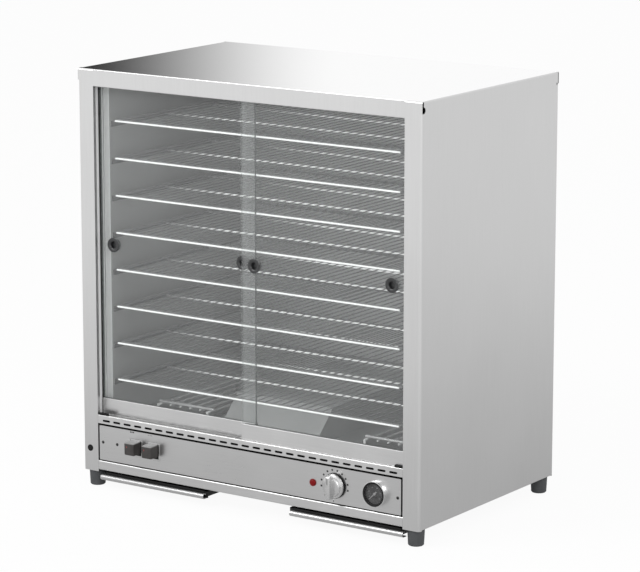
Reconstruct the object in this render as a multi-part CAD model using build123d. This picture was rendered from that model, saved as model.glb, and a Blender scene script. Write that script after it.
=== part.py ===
from build123d import *
import math
import os

# Pie display case: a heated counter cabinet with two sliding glass doors.
# X runs across the front, Y runs from the front to the back, Z is up.
# The model is drawn with its front face at Y 0 and the bench at Z 0,
# then moved along Y so that the footprint is centred on the origin.

# Case
case_width = 652.0
case_depth = 396.0
case_height = 660.0
sheet = 1.2
post_width = 30.5
post_hem = 6.0
post_bend = 5.0
top_bend = 3.0
bottom_return = 20.0
rear_return = 15.0
top_rail_height = 27.5
cap_flange = 19.0
rail_hem = 3.0
relief_gap = 3.4
relief_radius = 5.0
sheet_gap = 0.2
pan_front = 21.0

# Feet
foot_height = 26.0
foot_radius_top = 13.6
foot_radius_bottom = 12.4
foot_inset = 16.0
foot_edge = 1.5
foot_recess_radius = 4.0
foot_recess_depth = 9.0

# Front below the doors, heights above the underside of the case
lower_rail_bottom = 3.0
lower_rail_height = 16.3
lower_rail_depth = 18.0
rail_upstand = 5.0
panel_seat_gap = 0.3
panel_bottom_gap = 1.7
panel_height = 57.3
panel_top_gap = 3.2
panel_side_gap = 3.0
panel_return = 9.0
strip_height = 14.0
slot_count = 27
slot_pitch = 21.4
slot_length = 14.5
slot_height = 3.4
slot_height_above_strip = 5.2

# Door tracks and doors
lip_depth = 2.6
shelf_back = 26.6
track_drop = 5.5
track_wall = 1.2
channel_width = 8.6
door_overlap = 19.0
door_edge_gap = 1.0
door_rail_thick = 7.4
door_rail_height = 29.0
door_rail_lift = 2.2
door_rail_wall = 1.5
rail_slot_depth = 24.0
glass_thick = 4.0
glass_gap = 0.2
glass_top_entry = 15.5
upper_channel_width = 5.6
upper_channel_depth = 21.3
glide_length = 30.0
glide_width = 5.0
glide_height = 3.6
glide_gap = 0.35
glide_inset = 40.0
glide_fit = 0.1

# Finger pulls
pull_edge_distance = 24.0
pull_height = 376.0
pull_flange_radius = 12.0
pull_cup_radius = 10.0
pull_wall = 1.2
pull_flange_thick = 1.2
pull_cup_behind = 2.2
pull_fit = 0.3

# Jambs, seals and stops
jamb_set_back = 2.0
jamb_leg = 11.0
jamb_front_gap = 0.4
seal_width = 5.0
seal_door_gap = 0.4
stop_length = 20.0
stop_length_right = 15.0
stop_height = 4.0
stop_depth = 3.4
stop_front = 0.2

# Inner cabinet
liner_half_width = 285.0
liner_sheet = 1.0
liner_front = 27.0
liner_depth = 351.0
liner_flange = 11.8
liner_top_height = 634.0
floor_height = 87.4
floor_front = 24.0
floor_flange = 12.0

# Centre duct between the wells
duct_half_width = 93.0
duct_front = 57.0
duct_slope = 51.0
duct_sheet = 1.0
duct_back_gap = 0.5

# Wells, chutes and elements
well_inner = 140.0
well_outer = 268.0
well_front = 110.0
well_back = 340.0
chute_sheet = 1.0
chute_seat = 0.3
element_radius = 3.6
element_height = 58.0
element_legs = 4
element_pitch = 30.0
element_reach = 215.0
element_tail = 26.0
element_hole_gap = 0.3
guard_bar_radius = 2.2
guard_wire_radius = 1.6
guard_height = 100.0
guard_front = 118.0
guard_depth = 214.0
guard_wires = 6
guard_pitch = 20.0
guard_overhang = 5.0
guard_gap = 0.2

# Wire racks
rack_count = 8
rack_pitch = 60.5
rack_top_height = 576.0
rack_front = 30.0
rack_depth = 342.0
rack_half_width = 272.0
rack_corner = 12.0
rack_bar_radius = 2.5
rack_wire_radius = 1.3
rack_wire_count = 35
rack_wire_pitch = 15.5
rack_wire_rise = 1.0
rack_cross_first = 118.0
rack_cross_pitch = 118.0
rack_cross_count = 2
rack_cross_overhang = 2.5
weld_sink = 0.4
ledge_width = 16.5
ledge_leg = 9.0
ledge_sheet = 1.2
ledge_length = 342.0
ledge_gap = 0.2

# Cabinet lamp
lamp_width = 76.0
lamp_depth = 34.0
lamp_base_height = 9.0
lamp_lens_height = 14.0
lamp_lens_inset = 5.0
lamp_wall = 1.5
lamp_y = 200.0

# Switches
switch_height = 51.0
switch_left_x = -218.0
switch_right_x = -183.0
bezel_width = 27.0
bezel_height = 29.0
bezel_reach = 2.4
bezel_wall = 1.8
switch_body_depth = 25.0
switch_body_margin = 3.0
rocker_gap = 1.3
rocker_reach = 19.0
rocker_taper = 2.0
rocker_round = 2.2
rocker_pivot_depth = 3.0
rocker_tail = 5.0
rocker_tilt = 5.0
pivot_pin_radius = 1.4
pivot_pin_gap = 0.06
switch_cavity = 11.0

# Pilot lamp
pilot_x = 129.5
pilot_height = 48.0
pilot_lens_radius = 5.8
pilot_lens_reach = 3.4
pilot_body_radius = 4.6
pilot_body_depth = 24.0
hole_gap = 0.3

# Thermostat
dial_x = 170.0
dial_height = 49.0
knob_radius = 20.0
knob_skirt = 6.0
knob_face_gap = 1.0
knob_grip_width = 9.0
knob_reach = 20.0
knob_dome_radius = 15.0
knob_dome_reach = 9.5
knob_round = 1.5
shaft_radius = 3.0
shaft_fit = 0.05
shaft_in_knob = 12.0
shaft_in_body = 7.0
shaft_hole_radius = 5.0
thermostat_radius = 22.0
thermostat_depth = 28.0
thermostat_neck_radius = 6.0
thermostat_neck = 4.0

# Thermometer
gauge_x = 248.0
gauge_height = 49.5
gauge_radius = 20.5
gauge_reach = 10.0
gauge_wall = 2.2
gauge_barrel_radius = 18.4
gauge_barrel_depth = 22.0
gauge_dial_depth = 4.4
gauge_dial_thick = 0.8
gauge_glass_thick = 1.0
gauge_glass_set = 0.8
gauge_fit = 0.1
needle_gap = 0.45
needle_thick = 0.5
needle_length = 13.5
needle_tail = 5.0
needle_width = 1.8
needle_hub_radius = 2.2
needle_pin_radius = 0.8
needle_pin_gap = 0.06

# Crumb trays
tray_inner = 86.0
tray_width = 202.0
tray_depth = 325.0
tray_wall_height = 11.0
tray_sheet = 1.0
tray_flange = 6.0
tray_front = 8.0
tray_drop = 2.2
tray_lip_radius = 4.5
tray_lip_reach = 9.0
tray_lip_forward = 1.0
runner_gap = 0.7
runner_shelf = 5.2
runner_drop = 5.4
runner_length = 330.0
runner_lift = 0.3

# Rear, fasteners and wiring
back_slot_count = 12
back_slot_pitch = 24.0
back_slot_length = 16.0
back_slot_height = 4.0
back_slot_z = 62.0
gland_x = 262.0
gland_height = 40.0
gland_hex = 22.0
gland_nut = 6.0
gland_reach = 14.0
gland_bore = 4.0
gland_shank_radius = 7.8
screw_head_radius = 2.6
screw_head_height = 1.5
screw_shank_radius = 1.4
screw_length = 7.0
screw_hole_gap = 0.1
back_screw_inset = 8.0
back_screw_rows = 4
back_screw_first = 60.0
back_screw_pitch = 180.0
plug_x = -312.0
plug_height = 37.5
plug_radius = 4.4
plug_head = 1.0
plug_shank_radius = 3.2
terminal_x = 215.0
terminal_y = 368.0
terminal_size = (46.0, 18.0, 17.0)
terminal_poles = 3
terminal_pole_radius = 3.0
terminal_pole_depth = 5.0

# Places that follow from the sizes above
base_z = foot_height
half_width = case_width / 2
inner_half = half_width - sheet
opening_half = half_width - post_width
top_z = base_z + case_height
cap_bottom_z = top_z - cap_flange
rail_bottom_z = top_z - top_rail_height
rail_z = base_z + lower_rail_bottom
panel_z = rail_z + lower_rail_height + panel_bottom_gap
strip_z = panel_z + panel_height + panel_top_gap
lip_z = strip_z + strip_height
shelf_top_z = lip_z - track_drop
shelf_z = shelf_top_z - sheet
track_top_z = shelf_top_z + track_wall
floor_z = base_z + floor_height
floor_top_z = floor_z + sheet
liner_top_z = base_z + liner_top_height
liner_back_y = liner_front + liner_depth
pan_z = base_z + sheet
pan_top_z = pan_z + sheet
back_panel_y = case_depth + sheet_gap
back_face_y = back_panel_y + sheet
datum_y = (knob_face_gap + knob_reach - back_face_y - gland_reach) / 2
front_wall_y = lip_depth + 0.4
door_front_y = [front_wall_y + (channel_width - door_rail_thick) / 2]
door_front_y.append(door_front_y[0] + channel_width + track_wall)
door_width = opening_half + door_overlap / 2 - door_edge_gap


def block(x0, x1, y0, y1, z0, z1):
    """A rectangular solid between two corners."""
    size = Box(x1 - x0, y1 - y0, z1 - z0)
    return Pos((x0 + x1) / 2, (y0 + y1) / 2, (z0 + z1) / 2) * size


def rod_x(radius, x0, x1, y, z):
    """A round bar along X."""
    return Pos((x0 + x1) / 2, y, z) * Rot(0, 90, 0) * Cylinder(radius, x1 - x0)


def rod_y(radius, y0, y1, x, z):
    """A round bar along Y."""
    return Pos(x, (y0 + y1) / 2, z) * Rot(90, 0, 0) * Cylinder(radius, y1 - y0)


def turned_y(profile, x, z):
    """A turned piece about a Y axis. The profile is a list of (radius, y)."""
    outline = Polyline(*[(radius, y) for radius, y in profile], close=True)
    ring = revolve(make_face(outline), Axis.Y)
    return Pos(x, 0, z) * ring


def bent_strip(points, thickness, bend):
    """The section of a folded sheet, with its thickness on the left of the path."""
    path = FilletPolyline(*points, radius=bend)
    edge = Wire(path.edges())
    return Face(edge.offset_2d(thickness, side=Side.LEFT, closed=True))


def along_x(section, x0, x1):
    """A YZ section run from one X to another."""
    return Pos(x0, 0, 0) * extrude(Plane.YZ * section, x1 - x0)


def along_y(section, y0, y1):
    """An XZ section, drawn with X mirrored by its plane, run from one Y to another."""
    return Pos(0, y1, 0) * extrude(Plane.XZ * section, y1 - y0)


def mirrored(shape):
    """The same shape on the other side of the case."""
    return mirror(shape, Plane.YZ)


def both_sides(shape):
    """A shape and its mirror image."""
    return [shape, mirrored(shape)]


def save(name, *shapes):
    """Write one node, moved from the front face to the footprint's centre."""
    solids = []
    for shape in shapes:
        solids += list(shape.solids())
    moved = [Pos(0, datum_y, 0) * solid for solid in solids]
    body = moved[0] if len(moved) == 1 else Compound(children=moved)
    body.label = name
    export_step(body, os.path.join("parts", name + ".step"))


def screw_y(x, y, z, outward):
    """A pan head screw along Y. outward is -1 at the front and 1 at the back."""
    head_mid = y + outward * screw_head_height / 2
    head = Pos(x, head_mid, z) * Rot(90, 0, 0) * Cylinder(screw_head_radius, screw_head_height)
    shank_mid = y - outward * screw_length / 2
    shank = Pos(x, shank_mid, z) * Rot(90, 0, 0) * Cylinder(screw_shank_radius, screw_length)
    return head + shank


def screw_hole_y(x, y, z):
    """The clearance hole for such a screw."""
    radius = screw_shank_radius + screw_hole_gap
    return Pos(x, y, z) * Rot(90, 0, 0) * Cylinder(radius, 4 * sheet)


# Screw places
panel_screws = [(-285.4, 50.7), (-256.4, 50.8), (286.6, 48.0)]
back_screw_x = half_width - back_screw_inset
back_screws = []
for row in range(back_screw_rows):
    for side in (-1, 1):
        back_screws.append((side * back_screw_x, back_screw_first + row * back_screw_pitch))


def make_outer_shell():
    """Top, sides, posts and top rail, folded from one sheet with corner reliefs."""
    roof = [(bottom_return - half_width, base_z), (-half_width, base_z), (-half_width, top_z),
            (half_width, top_z), (half_width, base_z), (half_width - bottom_return, base_z)]
    wrap = along_y(bent_strip(list(reversed(roof)), sheet, top_bend), post_bend, case_depth)
    slot_y = relief_gap + sheet
    front_edge = block(-half_width, half_width, 0, slot_y, cap_bottom_z, top_z - top_bend)
    wrap -= front_edge
    post_path = [(-half_width, post_bend + 2 * sheet), (-half_width, 0), (-opening_half, 0)]
    post_section = bent_strip(post_path, sheet, post_bend)
    post = Pos(0, 0, base_z) * extrude(post_section, cap_bottom_z - base_z)
    hem_top = rail_bottom_z - sheet
    hem = block(-opening_half - sheet, -opening_half, 0, post_hem, base_z, hem_top)
    sole = block(-half_width + post_bend, -opening_half, sheet / 2, post_bend + 1, base_z, pan_z)
    post = post + hem + sole
    cap_path = [(post_bend + 4, top_z), (0, top_z), (0, cap_bottom_z)]
    cap = along_x(bent_strip(cap_path, sheet, top_bend), -half_width, half_width)
    rail_path = [(post_bend + 4, top_z), (0, top_z), (0, rail_bottom_z), (rail_hem, rail_bottom_z)]
    rail = along_x(bent_strip(rail_path, sheet, sheet + 0.1), -opening_half, opening_half)
    rear_y = back_face_y + sheet_gap + sheet
    rear_path = [(rear_y, cap_bottom_z), (rear_y, top_z), (case_depth - 6, top_z)]
    rear = along_x(bent_strip(rear_path, sheet, top_bend), -half_width, half_width)
    side_return = block(-half_width, -half_width + rear_return,
                        case_depth - sheet, case_depth, base_z, cap_bottom_z)
    shell = wrap + cap + rail + rear
    for piece in both_sides(post) + both_sides(side_return):
        shell += piece
    belly_z = cap_bottom_z + relief_radius
    belly = rod_x(relief_radius, -half_width - 1, -half_width + 4 * sheet, slot_y, belly_z)
    belly -= block(-half_width - 2, -half_width + 5 * sheet, -relief_radius, sheet,
                   cap_bottom_z - 1, top_z)
    dot = rod_x(1.6, -half_width - 1, -half_width + 4 * sheet, case_depth - 3, cap_bottom_z)
    for cut in both_sides(belly) + both_sides(dot):
        shell -= cut
    shell -= rod_y(plug_shank_radius + hole_gap, -1, 3, plug_x, base_z + plug_height)
    for x, z in back_screws:
        shell -= screw_hole_y(x, case_depth - sheet / 2, z)
    return shell


def make_back_panel():
    """Flat rear sheet with a row of vent slots and the cable entry."""
    panel = block(-half_width + 3, half_width - 3, back_panel_y, back_face_y,
                  base_z + 2, top_z - sheet - 3)
    for i in range(back_slot_count):
        x = (i - (back_slot_count - 1) / 2) * back_slot_pitch
        slot = SlotOverall(back_slot_length, back_slot_height)
        cut = extrude(Plane.XZ * slot, 4 * sheet, both=True)
        panel -= Pos(x, back_face_y, back_slot_z) * cut
    hole = gland_shank_radius + hole_gap
    panel -= rod_y(hole, back_panel_y - 1, back_face_y + 1, gland_x, base_z + gland_height)
    for x, z in back_screws:
        panel -= screw_hole_y(x, back_face_y - sheet / 2, z)
    return panel


def make_bottom_pan():
    """Chassis sheet that carries the chutes, with an opening over each tray."""
    x1 = inner_half - top_bend
    pan = block(-x1, x1, pan_front, case_depth - sheet - sheet_gap, pan_z, pan_top_z)
    opening = block(well_inner, well_outer, well_front, well_back, pan_z - 1, pan_top_z + 1)
    for cut in both_sides(opening):
        pan -= cut
    return pan


def make_lower_rail():
    """Folded rail between the posts, with the upstand that the panel seats against."""
    top = rail_z + lower_rail_height
    seat_y = panel_return + panel_seat_gap
    path = [(seat_y, top + rail_upstand), (seat_y, top), (0, top), (0, rail_z),
            (lower_rail_depth, rail_z)]
    section = bent_strip(path, sheet, 2 * sheet)
    return along_x(section, -opening_half + sheet_gap, opening_half - sheet_gap)


def make_control_panel():
    """Front panel, folded back on all four edges, with its cut-outs."""
    x0 = -opening_half + panel_side_gap
    x1 = opening_half - panel_side_gap
    z1 = panel_z + panel_height
    panel = block(x0, x1, 0, panel_return, panel_z, z1)
    vertical = panel.edges().filter_by(Axis.Y)
    panel = fillet(vertical, 1.0)
    panel -= block(x0 + sheet, x1 - sheet, sheet, panel_return + 1, panel_z + sheet, z1 - sheet)
    for x in (switch_left_x, switch_right_x):
        w = (bezel_width - 2 * bezel_wall) / 2 + switch_body_margin / 2
        h = (bezel_height - 2 * bezel_wall) / 2 + switch_body_margin / 2
        z = base_z + switch_height
        panel -= block(x - w, x + w, -1, 2 * sheet, z - h, z + h)
    panel -= rod_y(pilot_body_radius + hole_gap, -1, 2 * sheet, pilot_x, base_z + pilot_height)
    panel -= rod_y(shaft_hole_radius, -1, 2 * sheet, dial_x, base_z + dial_height)
    panel -= rod_y(gauge_barrel_radius + hole_gap, -1, 2 * sheet, gauge_x, base_z + gauge_height)
    for x, z in panel_screws:
        panel -= screw_hole_y(x, sheet / 2, base_z + z)
    return panel


def make_vent_strip():
    """Slotted face, folded over as the lip of the track and back as its shelf."""
    x1 = opening_half - sheet_gap
    skin = block(-x1, x1, 0, sheet, strip_z, lip_z)
    skin += block(-x1, x1, 0, lip_depth, lip_z - sheet, lip_z)
    skin += block(-x1, x1, lip_depth - sheet, lip_depth, shelf_z, lip_z)
    skin += block(-x1, x1, lip_depth - sheet, shelf_back, shelf_z, shelf_top_z)
    bend = [e for e in skin.edges().filter_by(Axis.X)
            if abs(e.center().Y) < 0.01 and abs(e.center().Z - lip_z) < 0.01]
    skin = fillet(bend, sheet)
    z = strip_z + slot_height_above_strip
    for i in range(slot_count):
        x = (i - (slot_count - 1) / 2) * slot_pitch
        cut = extrude(Plane.XZ * SlotOverall(slot_length, slot_height), 1.6 * sheet, both=True)
        skin -= Pos(x, 0, z) * cut
    return skin


def make_track_lower():
    """Two-channel track that lies on the strip's shelf behind the lip."""
    x1 = opening_half - sheet_gap
    y0 = lip_depth + sheet_gap
    y_mid = front_wall_y + channel_width
    y_back = y_mid + track_wall + channel_width
    track = block(-x1, x1, y0, y_back + track_wall, shelf_top_z, track_top_z)
    track += block(-x1, x1, y_mid, y_mid + track_wall, shelf_top_z, lip_z - 0.5)
    track += block(-x1, x1, y_back, y_back + track_wall, shelf_top_z, lip_z)
    return track


def make_track_upper():
    """Deep two-channel track that hangs from the top behind the top rail."""
    x1 = opening_half - sheet_gap
    z1 = top_z - sheet - sheet_gap
    z0 = z1 - upper_channel_depth - track_wall
    spare = (upper_channel_width - glass_thick) / 2
    glass_ys = [y + (door_rail_thick - glass_thick) / 2 for y in door_front_y]
    y0 = glass_ys[0] - spare - track_wall
    y1 = glass_ys[1] + glass_thick + spare + track_wall
    track = block(-x1, x1, y0, y1, z0, z1)
    for y in glass_ys:
        track -= block(-x1, x1, y - spare, y + glass_thick + spare, z0, z1 - track_wall)
    relief_0 = glass_ys[0] + glass_thick + spare + track_wall
    relief_1 = glass_ys[1] - spare - track_wall
    if relief_1 > relief_0 + 0.5:
        track -= block(-x1, x1, relief_0, relief_1, z0, z1 - track_wall)
    return track


jamb_x = opening_half + jamb_set_back
jamb_front_y = post_hem + jamb_front_gap
jamb_back_y = liner_front - sheet_gap


def make_jamb_left():
    """Channel beside the doors, open towards the side of the case."""
    path = [(-jamb_x - jamb_leg, jamb_front_y), (-jamb_x, jamb_front_y),
            (-jamb_x, jamb_back_y), (-jamb_x - jamb_leg, jamb_back_y)]
    z0 = floor_top_z + sheet_gap
    z1 = rail_bottom_z
    jamb = block(-jamb_x - jamb_leg, -jamb_x, jamb_front_y, jamb_back_y, z0, z1)
    jamb -= block(path[0][0] - 1, -jamb_x - sheet, jamb_front_y + sheet, jamb_back_y - sheet, z0, z1)
    return jamb


def make_door_seals():
    """Bumper strips that each closed door meets, one on each jamb."""
    seals = []
    for side, y in ((-1, door_front_y[1]), (1, door_front_y[0])):
        mid = y + door_rail_thick / 2
        y0 = max(mid - seal_width / 2, jamb_front_y)
        x_in = opening_half - door_edge_gap + seal_door_gap
        x0, x1 = sorted((side * x_in, side * jamb_x))
        strip = block(x0, x1, y0, y0 + seal_width, track_top_z + stop_height, rail_bottom_z)
        seals.append(strip)
    return seals


def make_track_stops():
    """Black pads on the lip at both ends of the front track."""
    stops = []
    for side, length in ((-1, stop_length), (1, stop_length_right)):
        x0, x1 = sorted((side * (opening_half - sheet_gap), side * (opening_half - length)))
        pad = block(x0, x1, -stop_front, stop_depth - stop_front, lip_z, lip_z + stop_height)
        stops.append(fillet(pad.edges().filter_by(Axis.X), 0.8))
    return stops


# Doors: index 0 is the right door in the front track, 1 the left door in the rear track
door_side = [1, -1]


def door_span(index):
    """Lowest and highest X of a closed door."""
    outer = opening_half - door_edge_gap
    if door_side[index] > 0:
        return outer - door_width, outer
    return -outer, -outer + door_width


glass_z = shelf_top_z + door_rail_lift + door_rail_height - rail_slot_depth
glass_top_z = rail_bottom_z + glass_top_entry


def pull_places(index):
    """Centres of a door's two finger pulls."""
    x0, x1 = door_span(index)
    z = shelf_top_z + door_rail_lift + door_rail_height / 2 + pull_height - base_z + 2
    z = base_z + pull_height
    return [(x0 + pull_edge_distance, z), (x1 - pull_edge_distance, z)]


def make_door_glass(index):
    """Plain glass sheet with a hole for each pull and eased top corners."""
    x0, x1 = door_span(index)
    y0 = door_front_y[index] + (door_rail_thick - glass_thick) / 2
    sheet_glass = block(x0, x1, y0, y0 + glass_thick, glass_z, glass_top_z)
    for x, z in pull_places(index):
        sheet_glass -= rod_y(pull_cup_radius + pull_fit, y0 - 1, y0 + glass_thick + 1, x, z)
    return sheet_glass


def make_door_rail(index):
    """Bottom rail: a bar with the glass slot above and a glide recess below."""
    x0, x1 = door_span(index)
    y0 = door_front_y[index]
    y1 = y0 + door_rail_thick
    z0 = shelf_top_z + door_rail_lift
    z1 = z0 + door_rail_height
    mid = (y0 + y1) / 2
    rail = block(x0, x1, y0, y1, z0, z1)
    rail = chamfer([e for e in rail.edges().filter_by(Axis.X) if abs(e.center().Z - z1) < 0.01], 0.6)
    half_slot = glass_thick / 2 + glass_gap
    rail -= block(x0 - 1, x1 + 1, mid - half_slot, mid + half_slot, glass_z - glass_gap, z1 + 1)
    groove = glide_width / 2 + glide_fit
    rail -= block(x0 - 1, x1 + 1, mid - groove, mid + groove, z0 - 1, z0 + glide_height - 1.6)
    return rail


def make_door_glides(index):
    """Two nylon runners in the rail's groove."""
    x0, x1 = door_span(index)
    mid = door_front_y[index] + door_rail_thick / 2
    z0 = track_top_z + glide_gap
    z1 = shelf_top_z + door_rail_lift + glide_height - 1.6 - glide_fit
    glides = []
    for x in (x0 + glide_inset, x1 - glide_inset - glide_length):
        glide = block(x, x + glide_length, mid - glide_width / 2, mid + glide_width / 2, z0, z1)
        glides.append(chamfer(glide.edges().filter_by(Axis.Y).group_by(Axis.Z)[0], 0.6))
    return glides


def make_door_pulls(index):
    """Cup pulls: a flange on the glass and a round cup through it."""
    y_glass = door_front_y[index] + (door_rail_thick - glass_thick) / 2
    y_front = y_glass - pull_flange_thick
    y_back = y_glass + glass_thick + pull_cup_behind
    profile = [(0, y_back), (pull_cup_radius, y_back), (pull_cup_radius, y_glass),
               (pull_flange_radius, y_glass), (pull_flange_radius, y_front + 0.5),
               (pull_flange_radius - 0.5, y_front), (pull_cup_radius - pull_wall, y_front),
               (pull_cup_radius - pull_wall, y_back - pull_wall), (0, y_back - pull_wall)]
    return [turned_y(profile, x, z) for x, z in pull_places(index)]


def make_liner_left():
    """Side of the inner cabinet, with its front edge turned out."""
    z0 = floor_top_z + sheet_gap
    side = block(-liner_half_width - liner_sheet, -liner_half_width, liner_front, liner_back_y,
                 z0, liner_top_z)
    side += block(-liner_half_width - liner_flange, -liner_half_width, liner_front,
                  liner_front + liner_sheet, z0, liner_top_z)
    return side


def make_liner_top():
    """Ceiling of the inner cabinet, turned up at the front."""
    ceiling = block(-liner_half_width - liner_sheet, liner_half_width + liner_sheet, liner_front,
                    liner_back_y + liner_sheet, liner_top_z + sheet_gap,
                    liner_top_z + sheet_gap + liner_sheet)
    ceiling += block(-liner_half_width - liner_sheet, liner_half_width + liner_sheet, liner_front,
                     liner_front + liner_sheet, liner_top_z + sheet_gap, top_z - sheet - sheet_gap)
    return ceiling


def make_liner_back():
    """Rear wall of the inner cabinet."""
    y0 = liner_back_y + sheet_gap
    return block(-liner_half_width, liner_half_width, y0, y0 + liner_sheet,
                 floor_top_z + sheet_gap, liner_top_z)


def make_floor_pan():
    """Cabinet floor across the whole case, with two wells and turned-down sides."""
    x1 = inner_half - 0.3
    y1 = case_depth - sheet - 0.4
    pan = block(-x1, x1, floor_front, y1, floor_z, floor_top_z)
    flange = block(-x1, -x1 + sheet, floor_front + 4, y1, floor_z - floor_flange, floor_top_z)
    for piece in both_sides(flange):
        pan += piece
    well = block(well_inner, well_outer, well_front, well_back, floor_z - 1, floor_top_z + 1)
    for cut in both_sides(well):
        pan -= cut
    return pan


duct_top_z = floor_top_z + duct_slope


def make_centre_duct():
    """Folded cover between the wells, with a sloping front and an open back and base."""
    z0 = floor_top_z + sheet_gap
    y1 = liner_back_y - duct_back_gap
    outer = Polyline((duct_front, z0), (duct_front + duct_slope, duct_top_z), (y1, duct_top_z),
                     (y1, z0), close=True)
    run = duct_sheet * math.sqrt(2)
    lean = duct_sheet * (math.sqrt(2) - 1)
    inner = Polyline((duct_front + run - 1, z0 - 1), (duct_front + duct_slope + lean, duct_top_z - duct_sheet),
                     (y1 + 1, duct_top_z - duct_sheet), (y1 + 1, z0 - 1), close=True)
    half = duct_half_width
    duct = along_x(make_face(outer), -half, half)
    return duct - along_x(make_face(inner), duct_sheet - half, half - duct_sheet)


element_first_x = (well_inner + well_outer - (element_legs - 1) * element_pitch) / 2
element_z = base_z + element_height


def make_crumb_chute():
    """Four-sided sleeve from the cabinet floor down to the tray opening."""
    z0 = pan_top_z + chute_seat
    z1 = floor_z - sheet_gap
    outer = block(well_inner - chute_sheet, well_outer + chute_sheet, well_front - chute_sheet,
                  well_back + chute_sheet, z0, z1)
    chute = outer - block(well_inner, well_outer, well_front, well_back, z0 - 1, z1 + 1)
    for x in (element_first_x, element_first_x + (element_legs - 1) * element_pitch):
        chute -= rod_y(element_radius + element_hole_gap, well_front - 3, well_front + 3,
                       x, element_z)
    return chute


def make_element():
    """Tubular heating element: four legs joined by half turns, ends out at the front."""
    bend = element_pitch / 2
    y_front = well_front - element_tail
    y_turn_near = well_front + 30
    y_turn_far = well_front + element_reach - bend
    xs = [element_first_x + i * element_pitch for i in range(element_legs)]
    z = element_z
    lines = [Line((xs[0], y_front, z), (xs[0], y_turn_far, z))]
    lines.append(ThreePointArc((xs[0], y_turn_far, z), (xs[0] + bend, y_turn_far + bend, z),
                               (xs[1], y_turn_far, z)))
    lines.append(Line((xs[1], y_turn_far, z), (xs[1], y_turn_near, z)))
    lines.append(ThreePointArc((xs[1], y_turn_near, z), (xs[1] + bend, y_turn_near - bend, z),
                               (xs[2], y_turn_near, z)))
    lines.append(Line((xs[2], y_turn_near, z), (xs[2], y_turn_far, z)))
    lines.append(ThreePointArc((xs[2], y_turn_far, z), (xs[2] + bend, y_turn_far + bend, z),
                               (xs[3], y_turn_far, z)))
    lines.append(Line((xs[3], y_turn_far, z), (xs[3], y_front, z)))
    path = Wire([line.edge() for line in lines])
    section = Plane(origin=(xs[0], y_front, z), z_dir=(0, 1, 0)) * Circle(element_radius)
    return sweep(section, path=path)


def make_element_guard():
    """Wire guard over a well: two bars, cross wires under them and four legs."""
    z_bar = base_z + guard_height
    z_wire = z_bar - guard_bar_radius - guard_wire_radius + weld_sink
    span = (guard_wires - 1) * guard_pitch
    x_mid = (well_inner + well_outer) / 2
    x0 = x_mid - span / 2
    guard = None
    for y in (guard_front, guard_front + guard_depth):
        bar = rod_x(guard_bar_radius, x0 - guard_overhang, x0 + span + guard_overhang, y, z_bar)
        guard = bar if guard is None else guard + bar
    hexagon = RegularPolygon(guard_wire_radius, 6)
    length = guard_depth + 2 * guard_overhang
    for i in range(guard_wires):
        wire = extrude(Plane.XZ * hexagon, length)
        guard += Pos(x0 + i * guard_pitch, guard_front + guard_depth + guard_overhang, z_wire) * wire
    leg_y = (well_front - 3, well_back + 3)
    for x in (x0, x0 + span):
        for y in leg_y:
            inner = guard_front - guard_overhang if y < guard_front else guard_front + guard_depth
            y0, y1 = sorted((y, inner))
            guard += block(x - 1.4, x + 1.4, y0 - 1.4, y1 + 1.4, z_wire - 1.3, z_wire + 1.3)
            guard += block(x - 1.4, x + 1.4, y - 1.4, y + 1.4, floor_top_z + guard_gap, z_wire)
    return guard


rack_wire_gap = rack_wire_pitch - 2 * rack_wire_radius


def make_rack():
    """One wire rack with its front bar's axis at Z 0."""
    x1 = rack_half_width
    y0 = rack_front
    y1 = rack_front + rack_depth
    mid = Pos(0, (y0 + y1) / 2, 0)
    outline = mid * RectangleRounded(2 * x1, rack_depth, rack_corner).wire()
    start = outline @ 0
    heading = outline % 0
    section = Plane(origin=start, z_dir=heading) * Circle(rack_bar_radius)
    rack = sweep(section, path=outline)
    hexagon = RegularPolygon(rack_wire_radius, 6)
    wire = extrude(Plane.XZ * hexagon, rack_depth)
    wires = []
    for i in range(rack_wire_count):
        x = (i - (rack_wire_count - 1) / 2) * rack_wire_pitch
        wires.append(Pos(x, y1, rack_wire_rise) * wire)
    cross_half = (rack_wire_count - 1) / 2 * rack_wire_pitch + rack_cross_overhang
    z_cross = rack_wire_rise - rack_wire_radius - rack_bar_radius + weld_sink
    for i in range(rack_cross_count):
        y = y0 + rack_cross_first + i * rack_cross_pitch
        wires.append(rod_x(rack_bar_radius, -cross_half, cross_half, y, z_cross))
    return rack.fuse(*wires)


def rack_z(index):
    """Height of a rack's front bar."""
    return base_z + rack_top_height - index * rack_pitch


def make_rack_ledges():
    """Angles on both liner sides, one pair under each rack."""
    ledges = []
    for index in range(rack_count):
        z = rack_z(index) - rack_bar_radius - ledge_gap
        x0 = -liner_half_width
        y1 = rack_front + 2 + ledge_length
        angle = block(x0, x0 + ledge_width, rack_front + 2, y1, z - ledge_sheet, z)
        angle += block(x0, x0 + ledge_sheet, rack_front + 2, y1, z - ledge_leg, z)
        ledges += both_sides(angle)
    return ledges


def make_lamp():
    """Flat cabinet lamp on the ceiling: a base and a clear cover."""
    z1 = liner_top_z
    z0 = z1 - lamp_base_height
    base = block(-lamp_width / 2, lamp_width / 2, lamp_y - lamp_depth / 2,
                 lamp_y + lamp_depth / 2, z0, z1)
    base = fillet(base.edges().filter_by(Axis.Z), 4)
    w = lamp_width / 2 - lamp_lens_inset
    d = lamp_depth / 2 - lamp_lens_inset
    lens = block(-w, w, lamp_y - d, lamp_y + d, z0 - lamp_lens_height, z0)
    lens = fillet(lens.edges().filter_by(Axis.Z), 4)
    lens = fillet(lens.faces().sort_by(Axis.Z)[0].edges(), 3)
    inner = block(-w + lamp_wall, w - lamp_wall, lamp_y - d + lamp_wall, lamp_y + d - lamp_wall,
                  z0 - lamp_lens_height + lamp_wall, z0 + 1)
    return base, lens - inner


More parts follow.
